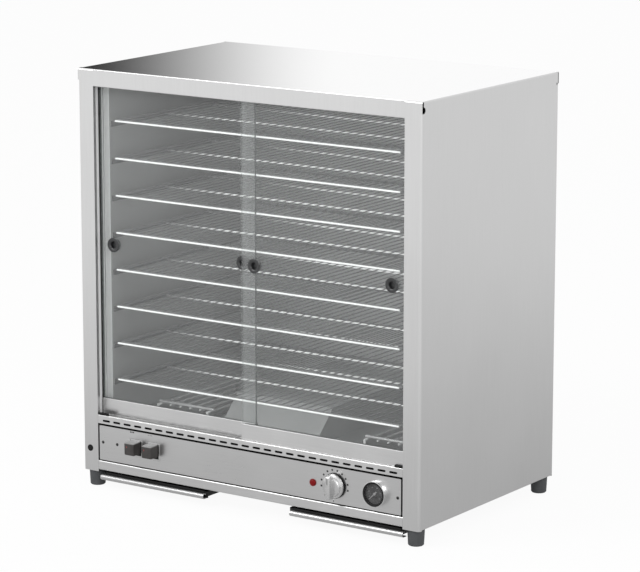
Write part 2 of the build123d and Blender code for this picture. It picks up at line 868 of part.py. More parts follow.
def make_switch(x):
    """Rocker switch at X: its fixed housing, and the rocker in its off position."""
    z = base_z + switch_height
    w = bezel_width / 2
    h = bezel_height / 2
    bezel = block(x - w, x + w, -bezel_reach, 0, z - h, z + h)
    bezel = fillet(bezel.edges().filter_by(Axis.Y), 2)
    in_w = w - bezel_wall
    in_h = h - bezel_wall
    body_w = in_w + switch_body_margin / 2 - hole_gap
    body_h = in_h + switch_body_margin / 2 - hole_gap
    housing = bezel + block(x - body_w, x + body_w, 0, switch_body_depth, z - body_h, z + body_h)
    housing -= block(x - in_w, x + in_w, -bezel_reach - 1, switch_cavity, z - in_h, z + in_h)
    pivot_y = rocker_pivot_depth
    pin_reach = (in_w + body_w) / 2 + 0.3
    housing -= rod_x(pivot_pin_radius + pivot_pin_gap, x - pin_reach - 0.3, x + pin_reach + 0.3,
                     pivot_y, z)
    rw = in_w - rocker_gap
    rh = in_h - rocker_gap
    front_y = -rocker_reach
    base_face = Plane(origin=(x, 1, z), x_dir=(1, 0, 0), z_dir=(0, -1, 0))
    tip_face = Plane(origin=(x, front_y, z), x_dir=(1, 0, 0), z_dir=(0, -1, 0))
    sections = [base_face * RectangleRounded(2 * rw, 2 * rh, rocker_round),
                tip_face * RectangleRounded(2 * (rw - rocker_taper), 2 * (rh - rocker_taper),
                                            rocker_round)]
    rocker = loft(sections)
    rocker = fillet(rocker.faces().sort_by(Axis.Y)[0].edges(), rocker_round * 0.7)
    rocker += block(x - rw + 2, x + rw - 2, 0.5, rocker_tail, z - rh + 3, z + rh - 3)
    rocker += rod_x(pivot_pin_radius, x - pin_reach, x + pin_reach, pivot_y, z)
    rocker = rocker.rotate(Axis((x, pivot_y, z), (1, 0, 0)), rocker_tilt)
    return housing, rocker


def make_pilot_lamp():
    """Red lamp: a domed lens on a round body through the panel."""
    r = pilot_lens_radius
    profile = [(0, pilot_body_depth), (pilot_body_radius, pilot_body_depth),
               (pilot_body_radius, 0), (r, 0), (r, -1.2), (r * 0.86, -pilot_lens_reach * 0.62),
               (r * 0.5, -pilot_lens_reach * 0.92), (0, -pilot_lens_reach)]
    return turned_y(profile, pilot_x, base_z + pilot_height)


def make_thermostat():
    """Thermostat body with its neck, the turning shaft and the knob."""
    z = base_z + dial_height
    neck_y = sheet + 0.2
    back_y = neck_y + thermostat_neck + thermostat_depth
    bush = shaft_radius + shaft_fit
    end_y = neck_y + shaft_in_body
    profile = [(bush, neck_y), (thermostat_neck_radius, neck_y),
               (thermostat_neck_radius, neck_y + thermostat_neck),
               (thermostat_radius, neck_y + thermostat_neck), (thermostat_radius, back_y),
               (0, back_y), (0, end_y + 0.5), (bush, end_y + 0.5)]
    body = turned_y(profile, dial_x, z)
    knob_back = -knob_face_gap
    tip_y = knob_back - knob_reach
    shaft_tip = knob_back - shaft_in_knob
    shaft = rod_y(shaft_radius, shaft_tip, end_y, dial_x, z)
    skirt_y = knob_back - knob_skirt
    dome_y = knob_back - knob_dome_reach
    shape = [(0, knob_back), (knob_radius, knob_back), (knob_radius, skirt_y + knob_round),
             (knob_radius - knob_round, skirt_y), (knob_dome_radius, skirt_y),
             (knob_dome_radius - 2, dome_y), (0, dome_y)]
    knob = turned_y(shape, dial_x, z)
    half = knob_grip_width / 2
    long = knob_radius - knob_round
    grip = block(dial_x - half, dial_x + half, tip_y, skirt_y + 1, z - long, z + long)
    grip = fillet(grip.edges().filter_by(Axis.Y), half * 0.6)
    grip = fillet(grip.faces().sort_by(Axis.Y)[0].edges(), knob_round)
    knob += grip
    knob -= rod_y(bush, shaft_tip - 0.3, knob_back + 1, dial_x, z)
    return body, shaft, knob


def make_thermometer():
    """Dial thermometer: case through the panel, dial, needle and glass."""
    z = base_z + gauge_height
    back_y = gauge_barrel_depth
    seat = gauge_radius - gauge_wall
    dial_y = -gauge_reach + gauge_dial_depth
    front = -gauge_reach
    profile = [(0, back_y), (gauge_barrel_radius, back_y), (gauge_barrel_radius, 0),
               (gauge_radius, 0), (gauge_radius, front + 1), (gauge_radius - 1, front),
               (seat, front), (seat, dial_y + gauge_dial_thick), (0, dial_y + gauge_dial_thick)]
    case = turned_y(profile, gauge_x, z)
    dial = rod_y(seat - gauge_fit, dial_y, dial_y + gauge_dial_thick, gauge_x, z)
    needle_y = dial_y - needle_gap - needle_thick
    pin_end = dial_y + gauge_dial_thick + 2
    hole = needle_pin_radius + needle_pin_gap
    dial -= rod_y(hole, dial_y - 1, dial_y + 2, gauge_x, z)
    case -= rod_y(hole, dial_y, pin_end + 0.3, gauge_x, z)
    hub = rod_y(needle_hub_radius, needle_y, needle_y + needle_thick, gauge_x, z)
    w = needle_width / 2
    blade = Polyline((-needle_tail, -w), (0, -w), (needle_length, -0.25), (needle_length, 0.25),
                     (0, w), (-needle_tail, w), close=True)
    blade = extrude(Plane.XZ * make_face(blade), needle_thick)
    blade = blade.rotate(Axis.Y, needle_rest)
    needle = hub + Pos(gauge_x, needle_y + needle_thick, z) * blade
    needle += rod_y(needle_pin_radius, needle_y, pin_end, gauge_x, z)
    glass_y = front + gauge_glass_set
    glass = rod_y(seat - gauge_fit, glass_y, glass_y + gauge_glass_thick, gauge_x, z)
    return case, dial, needle, glass


needle_rest = 135.0
tray_flange_z = base_z + sheet - runner_drop + sheet + runner_lift
tray_top_z = tray_flange_z + tray_sheet
tray_bottom_z = tray_top_z - tray_wall_height


def make_crumb_tray():
    """Shallow pan with side flanges that ride on the runners, and a rolled lip."""
    x0 = tray_inner
    x1 = tray_inner + tray_width
    y0 = tray_front
    y1 = tray_front + tray_depth
    t = tray_sheet
    pan = block(x0, x1, y0, y1, tray_bottom_z, tray_top_z)
    pan -= block(x0 + t, x1 - t, y0 + t, y1 - t, tray_bottom_z + t, tray_top_z + 1)
    for side_x in ((x0 - tray_flange, x0 + t), (x1 - t, x1 + tray_flange)):
        pan += block(side_x[0], side_x[1], y0, y1, tray_flange_z, tray_top_z)
    lip_y = tray_lip_radius - tray_lip_forward - 2
    lip_zc = tray_bottom_z + tray_lip_radius - 0.4
    lx0 = x0 - tray_lip_reach
    lx1 = x1 + tray_lip_reach
    pan += block(lx0, lx1, lip_y, y0 + t, tray_bottom_z - 0.4, tray_bottom_z + t - 0.4)
    pan += block(x0, x1, y0, y0 + t, tray_bottom_z - 0.4, tray_top_z)
    roll = rod_x(tray_lip_radius, lx0, lx1, lip_y, lip_zc)
    roll -= rod_x(tray_lip_radius - t, lx0 - 1, lx1 + 1, lip_y, lip_zc)
    back_cut = block(lx0 - 1, lx1 + 1, lip_y, lip_y + tray_lip_radius + 1,
                     lip_zc - tray_lip_radius + t, lip_zc + 0.5)
    return pan + (roll - back_cut)


def make_tray_runners():
    """Four angles under the chassis that hold the trays by their flanges."""
    x_in = tray_inner - tray_flange - runner_gap
    x_out = tray_inner + tray_width + tray_flange + runner_gap
    y0 = 30
    y1 = y0 + runner_length
    z1 = pan_z
    z0 = z1 - runner_drop
    runners = []
    for x, way in ((x_in, -1), (x_out, 1)):
        web = block(min(x, x + way * sheet), max(x, x + way * sheet), y0, y1, z0, z1)
        shelf = block(min(x + way * sheet, x - way * runner_shelf),
                      max(x + way * sheet, x - way * runner_shelf), y0, y1, z0, z0 + sheet)
        runners += both_sides(web + shelf)
    return runners


def make_feet():
    """Four tapered round feet with a screw recess below."""
    profile = Polyline((0, foot_recess_depth), (foot_recess_radius, foot_recess_depth),
                       (foot_recess_radius, 0), (foot_radius_bottom - foot_edge, 0),
                       (foot_radius_bottom, foot_edge), (foot_radius_top, base_z),
                       (0, base_z), close=True)
    foot = revolve(Plane.XZ * make_face(profile), Axis.Z)
    x = half_width - foot_inset
    places = [(x, foot_inset), (-x, foot_inset), (x, case_depth - foot_inset + 2),
              (-x, case_depth - foot_inset + 2)]
    return [Pos(px, py, 0) * foot for px, py in places]


def make_post_plug():
    """Black plug in the left post."""
    z = base_z + plug_height
    profile = [(0, 4), (plug_shank_radius, 4), (plug_shank_radius, 0), (plug_radius, 0),
               (plug_radius - 0.4, -plug_head), (0, -plug_head)]
    return turned_y(profile, plug_x, z)


def make_cable_gland():
    """Hexagon gland in the back panel, with its cord left off."""
    z = base_z + gland_height
    nut = extrude(Plane.XZ * RegularPolygon(gland_hex / 2, 6), gland_nut)
    gland = Pos(gland_x, back_face_y + gland_nut, z) * nut
    gland += turned_y([(0, back_face_y), (gland_hex * 0.42, back_face_y),
                       (gland_hex * 0.42, back_face_y + gland_reach * 0.7),
                       (gland_hex * 0.3, back_face_y + gland_reach),
                       (0, back_face_y + gland_reach)], gland_x, z)
    gland += rod_y(gland_shank_radius, back_panel_y - 8, back_face_y, gland_x, z)
    gland -= rod_y(gland_bore, back_panel_y - 9, back_face_y + gland_reach + 1, gland_x, z)
    return gland


def make_terminal_block():
    """Three-pole terminal block on the chassis."""
    sx, sy, sz = terminal_size
    z0 = pan_top_z + sheet_gap
    block_body = block(terminal_x - sx / 2, terminal_x + sx / 2, terminal_y - sy / 2,
                       terminal_y + sy / 2, z0, z0 + sz)
    for i in range(terminal_poles):
        x = terminal_x + (i - (terminal_poles - 1) / 2) * sx / terminal_poles
        well = Pos(x, terminal_y, z0 + sz) * Cylinder(terminal_pole_radius, 2 * terminal_pole_depth)
        block_body -= well
    return block_body


def make_case_screws():
    """Pan head screws of the control panel and the back panel."""
    screws = [screw_y(x, 0, base_z + z, -1) for x, z in panel_screws]
    screws += [screw_y(x, back_face_y, z, 1) for x, z in back_screws]
    return screws


os.makedirs("parts", exist_ok=True)
save("outer_shell", make_outer_shell())
save("back_panel", make_back_panel())
save("bottom_pan", make_bottom_pan())
save("lower_rail", make_lower_rail())
save("control_panel", make_control_panel())
save("vent_strip", make_vent_strip())
save("door_track_lower", make_track_lower())
save("door_track_upper", make_track_upper())
jamb = make_jamb_left()
save("jamb_left", jamb)
save("jamb_right", mirrored(jamb))
save("door_seals", *make_door_seals())
save("track_stops", *make_track_stops())
for index, name in enumerate(("right_door", "left_door")):
    save(name + "_glass", make_door_glass(index))
    save(name + "_rail", make_door_rail(index))
    save(name + "_glides", *make_door_glides(index))
    save(name + "_pulls", *make_door_pulls(index))
liner = make_liner_left()
save("liner_left", liner)
save("liner_right", mirrored(liner))
save("liner_top", make_liner_top())
save("liner_back", make_liner_back())
save("floor_pan", make_floor_pan())
save("centre_duct", make_centre_duct())
save("crumb_chutes", *both_sides(make_crumb_chute()))
save("heating_elements", *both_sides(make_element()))
save("element_guards", *both_sides(make_element_guard()))
rack = make_rack()
for index in range(rack_count):
    save("rack_" + str(index + 1), Pos(0, 0, rack_z(index)) * rack)
save("rack_ledges", *make_rack_ledges())
lamp_base, lamp_lens = make_lamp()
save("lamp_base", lamp_base)
save("lamp_lens", lamp_lens)
for name, x in (("switch_left", switch_left_x), ("switch_right", switch_right_x)):
    housing, rocker = make_switch(x)
    save(name + "_housing", housing)
    save(name + "_rocker", rocker)
save("pilot_lamp", make_pilot_lamp())
thermostat_body, thermostat_shaft, thermostat_knob = make_thermostat()
save("thermostat_body", thermostat_body)
save("thermostat_shaft", thermostat_shaft)
save("thermostat_knob", thermostat_knob)
gauge_case, gauge_dial, gauge_needle, gauge_glass = make_thermometer()
save("thermometer_case", gauge_case)
save("thermometer_dial", gauge_dial)
save("thermometer_needle", gauge_needle)
save("thermometer_glass", gauge_glass)
tray = make_crumb_tray()
save("crumb_tray_right", tray)
save("crumb_tray_left", mirrored(tray))
save("tray_runners", *make_tray_runners())
save("feet", *make_feet())
save("post_plug", make_post_plug())
save("cable_gland", make_cable_gland())
save("terminal_block", make_terminal_block())
save("case_screws", *make_case_screws())
print("nodes written", len(os.listdir("parts")))
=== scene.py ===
# %% [markdown]
# A heated pie display case: a folded stainless steel cabinet with two sliding glass
# doors, eight wire racks, a control panel below the doors and two crumb trays.
# The solids come in as a fixed frame. This lesson dresses them: finishes for the
# sheet metal, glass and plastics, and finer pieces where the solids are plain.

# %% Load the frame
import math
import bmesh
import bpy
from mathutils import Matrix, Vector


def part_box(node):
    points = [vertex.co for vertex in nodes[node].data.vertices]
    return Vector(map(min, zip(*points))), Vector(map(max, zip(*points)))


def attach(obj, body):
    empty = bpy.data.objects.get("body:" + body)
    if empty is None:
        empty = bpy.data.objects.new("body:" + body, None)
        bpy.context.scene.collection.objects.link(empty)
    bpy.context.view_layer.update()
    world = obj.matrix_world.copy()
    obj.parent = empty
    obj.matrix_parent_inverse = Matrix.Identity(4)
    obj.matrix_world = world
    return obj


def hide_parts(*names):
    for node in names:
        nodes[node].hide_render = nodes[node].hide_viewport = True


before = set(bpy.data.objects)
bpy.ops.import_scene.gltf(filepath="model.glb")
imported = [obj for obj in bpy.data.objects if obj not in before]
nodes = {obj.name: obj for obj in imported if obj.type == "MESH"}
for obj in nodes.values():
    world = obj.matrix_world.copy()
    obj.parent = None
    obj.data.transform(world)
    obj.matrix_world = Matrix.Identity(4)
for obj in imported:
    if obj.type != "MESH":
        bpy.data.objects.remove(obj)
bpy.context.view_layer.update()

MM = 0.001

# %% [markdown]
# The photograph looks down a little on the front and on the right side. A short lens
# close by could frame the case as well, but its edges would run together. A long lens
# far away keeps them nearly parallel, as in the photograph.

# %% Camera
scene = bpy.context.scene
camera_data = bpy.data.cameras.new("camera")
camera = bpy.data.objects.new("camera", camera_data)
scene.collection.objects.link(camera)
camera.location = (2.7887, -4.0244, 1.3620)
camera.rotation_euler = (math.radians(78.14), 0, math.radians(34.61))
camera_data.sensor_width = 36
camera_data.lens = 175.08
camera_data.shift_x = -0.0028
camera_data.shift_y = 0.0022
scene.camera = camera
scene.view_settings.view_transform = "Standard"
print("camera", tuple(round(v, 3) for v in camera.location))

# %% [markdown]
# Materials and Geometry Nodes are both graphs of nodes. They could be drawn by hand in
# the editor, or node by node in a script, which is long to read. One small class holds
# a graph and adds any node to it. What it gives back wraps the new node's output, so
# that a plain sum such as 1 - mask adds the Math node that works it out.

# %% Node graphs
class Value:
    """One output socket, on which + - * / and ** add Math nodes."""

    def __init__(self, graph, socket):
        self.graph, self.socket = graph, socket

    def beside(self, name):
        """Another output of the node that this value comes from."""
        return Value(self.graph, self.socket.node.outputs[name])

    def math(self, operation, *others):
        """This value, and OTHERS where the operation takes more, in a Math node."""
        return self.graph.node("ShaderNodeMath", {"operation": operation},
                               dict(enumerate((self, *others))))

    def __add__(self, other):
        return self.math("ADD", other)

    def __mul__(self, other):
        return self.math("MULTIPLY", other)

    def __sub__(self, other):
        return self.math("SUBTRACT", other)

    def __rsub__(self, other):
        return self.graph.node("ShaderNodeMath", {"operation": "SUBTRACT"}, {0: other, 1: self})

    def __truediv__(self, other):
        return self.math("DIVIDE", other)

    def __pow__(self, other):
        return self.math("POWER", other)


class Graph:
    """A node tree with one method that adds a node of any type."""

    def __init__(self, tree):
        self.tree = tree

    def node(self, kind, settings=None, values=None, out=0):
        """Adds a node with these settings and input values, and returns its output OUT."""
        node = self.tree.nodes.new(kind)
        for key, setting in (settings or {}).items():
            setattr(node, key, setting)
        for key, value in (values or {}).items():
            if isinstance(value, Value):
                self.tree.links.new(value.socket, node.inputs[key])
            else:
                node.inputs[key].default_value = value
        return Value(self, node.outputs[out]) if len(node.outputs) else None


def grey(level):
    """An even grey."""
    return (level,) * 3


def rgba(colour):
    """A colour with its alpha. A node's output, or a colour that has one, stays as it is."""
    return colour if isinstance(colour, Value) or len(colour) == 4 else (*colour, 1)


class Finish(Graph):
    """A material whose graph starts from Object coordinates."""

    def __init__(self, name):
        self.material = bpy.data.materials.new(name)
        self.material.use_nodes = True
        super().__init__(self.material.node_tree)
        self.tree.nodes.clear()
        self.place = self.node("ShaderNodeTexCoord", out="Object")

    def noise(self, scale, detail=3.0, rough=0.5, stretch=(1, 1, 1), distort=0.0):
        """Noise from 0 to 1. SCALE times STRETCH says how many cells a metre has."""
        spread = self.node("ShaderNodeMapping", {}, {"Vector": self.place, "Scale": stretch})
        return self.node("ShaderNodeTexNoise", {}, {
            "Vector": spread, "Scale": scale, "Detail": detail, "Roughness": rough,
            "Distortion": distort}, out="Fac")

    def axis(self, name):
        """One coordinate of the place, in metres."""
        return self.node("ShaderNodeSeparateXYZ", {}, {0: self.place}, out=name)

    def normal(self, axis):
        """How much the surface faces along AXIS, from -1 to 1."""
        outwards = self.node("ShaderNodeNewGeometry", out="True Normal")
        return self.node("ShaderNodeSeparateXYZ", {}, {0: outwards}, out=axis)

    def facing(self, axis, least=0.7):
        """1 where the surface faces along AXIS, either way, and 0 elsewhere."""
        return self.normal(axis).math("ABSOLUTE").math("GREATER_THAN", least)

    def spread(self, value, low, high, to_low=0.0, to_high=1.0):
        """VALUE mapped from one range to another, and held inside it."""
        return self.node("ShaderNodeMapRange", {}, {
            "Value": value, "From Min": low, "From Max": high,
            "To Min": to_low, "To Max": to_high})

    def vary(self, noise, low, high):
        """NOISE, nearly all of which lies from 0.3 to 0.7, stretched from LOW to HIGH."""
        return self.spread(noise, 0.3, 0.7, low, high)

    def mix(self, factor, a, b):
        """Colour A where FACTOR is 0 and B where it is 1."""
        return self.node("ShaderNodeMix", {"data_type": "RGBA"},
                         {0: factor, 6: rgba(a), 7: rgba(b)}, out=2)

    def blend(self, factor, a, b):
        """Shader A where FACTOR is 0 and B where it is 1."""
        return self.node("ShaderNodeMixShader", {}, {0: factor, 1: a, 2: b})

    def bump(self, height, strength, distance):
        """A normal that follows HEIGHT, whose full range is DISTANCE metres deep."""
        return self.node("ShaderNodeBump", {}, {
            "Height": height, "Strength": strength, "Distance": distance})

    def principled(self, **values):
        """The Principled shader. Its inputs are named with _ in place of a space."""
        named = {key.replace("_", " "): value for key, value in values.items()}
        named["Base Color"] = rgba(named["Base Color"])
        return self.node("ShaderNodeBsdfPrincipled", {}, named)

    def end(self, shader):
        """Closes the graph with SHADER on the surface."""
        self.node("ShaderNodeOutputMaterial", {}, {"Surface": shader})
        return self.material


print("graph classes ready")

# %% [markdown]
# The outside of the case is satin stainless steel. Its grain is far too fine to see
# one by one, so it shows as faint streaks in the roughness, all along one direction,
# with a broad, cloudy change on top where the sheet has been wiped and handled. A
# picture of brushed steel could be wrapped round the parts, but noise on the object's
# own coordinates needs no unwrapping and has no seams.
# A cut or folded edge catches other light than the sheet beside it. That light is
# painted: some sheets have a fixed grey on the faces that look along one axis, painted
# shade in the slots of the vent strip, on the rails' ends, round the panel and on the
# lower rail, and a painted highlight on the front edges of the liner.

# %% Sheet steel
grain_depth = 0.02 * MM


def sheet_steel(name, base, rough, grain, streak=0.05, cloud=0.05, mirror=1.0, painted_edge=None):
    """Satin steel of the grey BASE, whose grain runs along the axis where GRAIN is small.

    PAINTED_EDGE is a grey, an axis and perhaps a share: the faces that look along that
    axis by at least that share have that grey, as painted shade or a painted highlight."""
    f = Finish(name)
    fine = f.noise(1.0, 4, 0.65, grain)
    broad = f.noise(7.0, 3, 0.55)
    smudge = f.noise(34.0, 4, 0.6, distort=0.4)
    tone = f.vary(fine, -1, 1) * streak + f.vary(broad, -1, 1) * cloud
    shade = f.mix(tone * 2 + 0.5, grey(base * 0.86), grey(min(1, base * 1.12)))
    # Painted light on edges: a fixed grey, painted shade or a painted highlight, on the faces
    # along one axis.
    if painted_edge:
        shade = f.mix(f.facing(*painted_edge[1:]), shade, grey(painted_edge[0]))
    roughness = tone * 0.8 + f.spread(smudge, 0.58, 0.75) * 0.05 + rough
    metal = f.principled(
        Base_Color=shade, Metallic=mirror, Roughness=roughness,
        Normal=f.bump(fine, 0.12, grain_depth))
    return f.end(metal)


# Cells of noise in a metre: few along the grain and many across it.
along_x = (18, 900, 900)
along_z = (700, 700, 14)
# Painted shade on the X faces of the rails and the vent strip, and on the Z faces of the panel
# and the lower rail. A painted highlight on the Y faces of the liner.
rail_steel = sheet_steel("rail_steel", 0.68, 0.33, along_x, painted_edge=(0.05, "X"))
panel_steel = sheet_steel("panel_steel", 0.63, 0.3, along_x, streak=0.03, cloud=0.03,
                          painted_edge=(0.02, "Z", 0.3))
track_steel = sheet_steel("track_steel", 0.45, 0.4, along_x, mirror=0.6)
liner_steel = sheet_steel("liner_steel", 0.47, 0.4, along_z, streak=0.07, cloud=0.06,
                          mirror=0.35, painted_edge=(1.0, "Y"))
back_steel = sheet_steel("back_steel", 0.55, 0.4, along_z, streak=0.07, cloud=0.06,
                         mirror=0.35)
# Painted shade: the steel rack ledges are near black, for the shade lines under the racks.
ledge_steel = sheet_steel("ledge_steel", 0.08, 0.4, along_x, mirror=0.35)
pan_steel = sheet_steel("pan_steel", 0.48, 0.42, along_x, streak=0.07, cloud=0.08, mirror=0.7)
# Painted light: the steel jambs are near white and hardly metallic, so the shaded jambs read as
# lit.
jamb_steel = sheet_steel("jamb_steel", 0.93, 0.4, along_z, mirror=0.1)
tray_steel = sheet_steel("tray_steel", 0.5, 0.3, along_x, streak=0.02, cloud=0.03, mirror=0.8)
sill_steel = sheet_steel("sill_steel", 0.68, 0.33, along_x, painted_edge=(0.2, "Z", 0.9))
# Painted shade: near black for the crumb trays' pans and runners in the gap under the case.
tray_dark = sheet_steel("tray_dark", 0.008, 0.6, along_x, mirror=0.1)
print("last steel finish", tray_dark.name)

# %% [markdown]
# The top of the shell was less rubbed than the sides, so it mirrors the room. The
# roof could have a material of its own, but the shell is one folded piece. So one
# material covers it, and a mask on height makes the roof smoother than the walls.

# %% Shell with a smoother roof
def shell_finish():
    """Steel with an upright grain on the walls and a bright, smooth roof."""
    f = Finish("shell_steel")
    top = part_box("outer_shell")[1].z
    roof = f.spread(f.axis("Z"), top - 0.8 * MM, top - 0.2 * MM)
    up = f.noise(1.0, 4, 0.65, along_z)
    across = f.noise(1.0, 4, 0.65, along_x)
    broad = f.noise(6.0, 3, 0.5)
    tone = f.vary(up, -0.05, 0.05) * (1 - roof)
    tone = tone + f.vary(across, -0.03, 0.03) * roof
    tone = tone + f.vary(broad, -0.035, 0.035)
    walls = f.mix(tone * 2 + 0.5, grey(0.58), grey(0.72))
    shade = f.mix(roof, walls, grey(0.93))
    rough = f.spread(roof, 0, 1, 0.33, 0.09) + tone * 0.5
    scratch = f.bump(up * (1 - roof), 0.1, grain_depth)
    return f.end(f.principled(Base_Color=shade, Metallic=1.0, Roughness=rough, Normal=scratch))


shell_steel = shell_finish()
print("shell", shell_steel.name)

# %% [markdown]
# The small parts are plated metal, moulded plastic and rubber. Plated metal has soft
# dull spots, plastic has a fine moulded grain, and rubber is dull with a dusty bloom.
# Each part could have a graph of its own, but they differ in a few numbers only, so
# two functions make them all.

# %% Small metal, plastic and rubber
dimple_depth = 0.05 * MM


def plated(name, base, rough, mirror=1.0, dimple=0.15):
    """Plating of the grey BASE with soft dull spots, worn a little darker in places."""
    f = Finish(name)
    spots = f.noise(160, 4, 0.6)
    wear = f.noise(22, 3, 0.5)
    shade = f.mix(f.spread(wear, 0.35, 0.7), grey(base), grey(base * 0.8))
    return f.end(f.principled(
        Base_Color=shade, Metallic=mirror, Roughness=f.vary(spots, rough - 0.06, rough + 0.1),
        Normal=f.bump(spots, dimple, dimple_depth)))


def moulded(name, colour, rough, coat=0.0, grain=2600, depth=0.03, level=0.5, top=None):
    """Plastic or rubber with a fine skin. TOP is the grey of a painted highlight on its upper
    faces.
    """
    f = Finish(name)
    skin = f.noise(grain, 2, 0.5)
    broad = f.noise(60, 3, 0.55)
    bloom = tuple(min(1, c * 1.35 + 0.006) for c in colour)
    shade = f.mix(f.spread(broad, 0.35, 0.7), colour, bloom)
    # Painted highlight: faces that look up turn to the grey TOP.
    if top:
        shade = f.mix(f.spread(f.normal("Z"), 0.2, 0.8), shade, grey(top))
    return f.end(f.principled(
        Base_Color=shade, Roughness=f.vary(broad, rough - 0.05, rough + 0.07),
        Coat_Weight=coat, Specular_IOR_Level=level, Normal=f.bump(skin, 0.25, depth * MM)))


# Painted shade: the racks' chrome wires are a dark grey that is not metal.
rack_wire = moulded("rack_wire", grey(0.19), 0.5, level=0.3)
screw_plate = plated("screw_plate", 0.04, 0.5, 0.5)
shaft_steel = plated("shaft_steel", 0.6, 0.3)
chrome = plated("chrome", 0.78, 0.1, dimple=0.02)
knob_silver = plated("knob_silver", 0.7, 0.2, dimple=0.02)
# Black plastic, and also painted shade where it fills the screws' recesses.
black_plastic = moulded("black_plastic", grey(0.008), 0.6, level=0.15)
pull_plastic = moulded("pull_plastic", (0.013, 0.014, 0.015), 0.34, 0.25)
# The rocker caps have a painted highlight on their upper faces.
rocker_plastic = moulded("rocker_plastic", (0.042, 0.039, 0.038), 0.4, level=0.25, top=0.3)
nylon = moulded("nylon", (0.62, 0.62, 0.6), 0.5)
rubber = moulded("foot_rubber", (0.052, 0.055, 0.058), 0.62, grain=900, depth=0.08)
seal_rubber = moulded("seal_rubber", (0.012, 0.012, 0.013), 0.6)
dial_face = moulded("dial_face", grey(0.055), 0.5, level=0.25)
needle_paint = moulded("needle_paint", grey(0.3), 0.4)
mark_paint = moulded("mark_paint", grey(0.01), 0.5, level=0.2)
pale_paint = moulded("pale_paint", grey(0.28), 0.5)
red_paint = moulded("red_paint", (0.2, 0.03, 0.03), 0.5)
terminal_plastic = moulded("terminal_plastic", (0.7, 0.69, 0.64), 0.5)
print("last small finish", terminal_plastic.name)

# %% [markdown]
# The front bar of a rack and of a guard is polished and catches the light of the room
# through the glass. That light is a painted highlight: the bar is near white, and a
# little light of its own stands in for a lamp inside the case, which would light
# everything round the bars as well. The guard's wires behind its bar are a darker grey,
# and the racks' cross bars have painted shade at the far left, up to an edge that slants
# to the right towards the back. Masks on the place say where the bright bar ends.

# %% Bright front bars
rack_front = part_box("rack_1")[0].y
guard_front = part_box("element_guards")[0].y
cross_pitch = 118 * MM
shade_edge = -260 * MM
shade_width = 120 * MM
shade_slant = 0.85


def painted_bar_light(name, front, fade, greys, mirror, glow, left_only=False):
    """A painted highlight at FRONT, near white with a glow, and a darker grey behind it.

    FADE says how far behind the front the change starts and ends. With LEFT_ONLY the
    darker grey is painted shade that fades out to the right, from SHADE_EDGE over
    SHADE_WIDTH on the first cross bar, and the further back the further to the right."""
    f = Finish(name)
    # The darker grey behind the bright front bar; with LEFT_ONLY it is painted shade that fades
    # to the right.
    dull = f.spread(f.axis("Y"), front + fade[0], front + fade[1])
    if left_only:
        edge = shade_edge - (front + cross_pitch) * shade_slant
        across = f.axis("X") - f.axis("Y") * shade_slant
        dull = dull * f.spread(across, edge, edge + shade_width, 1.0, 0.0)
    shade = f.mix(dull, grey(greys[0]), grey(greys[1]))
    wear = f.noise(22, 3, 0.5)
    return f.end(f.principled(
        Base_Color=shade, Metallic=mirror, Roughness=f.vary(wear, 0.24, 0.4),
        Emission_Color=shade, Emission_Strength=glow, Normal=f.bump(wear, 0.15, dimple_depth)))


# Racks: a painted highlight on the front bar and painted shade on the cross bars at the left.
rack_bar = painted_bar_light("rack_bar", rack_front, (30 * MM, 50 * MM), (0.97, 0.16), 0.1, 0.4,
                         left_only=True)
guard_wire = painted_bar_light("guard_wire", guard_front, (6 * MM, 12 * MM), (0.95, 0.34), 0.4, 0.2)
print("rack bars are bright at y", round(rack_front, 4))

# %% [markdown]
# The doors are plain float glass. Straight through it is almost clear. A share of
# the light is mirrored, more so at a slant, and a thin film of dust and wiping marks
# makes the pane read as a grey veil. The Glass shader would also bend the light, which
# a thin pane hardly does and which makes a render slow and grainy. So clear, dusty and
# mirror shaders are blended by hand. The cut edges of the pane are dark green.

# %% Glass
def pane(name, veil, mirror, tint, edge_share=0.85):
    """Glass with a VEIL of dust, which mirrors the share MIRROR straight on.

    EDGE_SHARE says how dark the cut edges are."""
    f = Finish(name)
    slant = f.node("ShaderNodeLayerWeight", {}, {"Blend": 0.5}, out="Facing")
    wipe = f.noise(5.0, 4, 0.6, (1, 1, 0.35), 0.5)
    film = f.vary(wipe, veil * 0.75, veil * 1.25)
    clear = f.node("ShaderNodeBsdfTransparent", {}, {"Color": rgba(tint)})
    dust = f.principled(Base_Color=(0.75, 0.77, 0.78), Roughness=0.6)
    gloss = f.node("ShaderNodeBsdfGlossy", {}, {"Color": rgba(grey(1)), "Roughness": 0.02})
    whole = f.blend((slant ** 3) * 0.6 + mirror, f.blend(film, clear, dust), gloss)
    edge = f.principled(Base_Color=(0.06, 0.075, 0.07), Roughness=0.3)
    sideways = f.normal("Y").math("ABSOLUTE")
    return f.end(f.blend(f.spread(sideways, 0.3, 0.5, edge_share, 0.0), whole, edge))


door_glass = pane("door_glass", 0.05, 0.035, (0.95, 0.958, 0.955), 0.12)
rear_glass = pane("rear_glass", 0.05, 0.035, (0.95, 0.958, 0.955))
gauge_glass = pane("gauge_glass", 0.005, 0.008, (0.97, 0.97, 0.97))
lamp_cover = pane("lamp_cover", 0.35, 0.04, (0.9, 0.9, 0.88))
print("last glass finish", lamp_cover.name)

# %% [markdown]
# The pilot lamp is a clear red cap over a small bulb. A bulb could be modelled behind
# a clear cap, but at this size a little red light of its own is enough to keep the cap
# from going black. The elements are steel tubes that the heat has browned in patches.

# %% Pilot lamp and elements
def red_cap():
    """Red plastic with a faint glow."""
    f = Finish("pilot_red")
    depth = f.noise(400, 2, 0.5)
    shade = f.mix(depth, (0.12, 0.002, 0.003), (0.2, 0.005, 0.006))
    return f.end(f.principled(Base_Color=shade, Roughness=0.35, Specular_IOR_Level=0.15,
                              Emission_Color=shade, Emission_Strength=0.15))


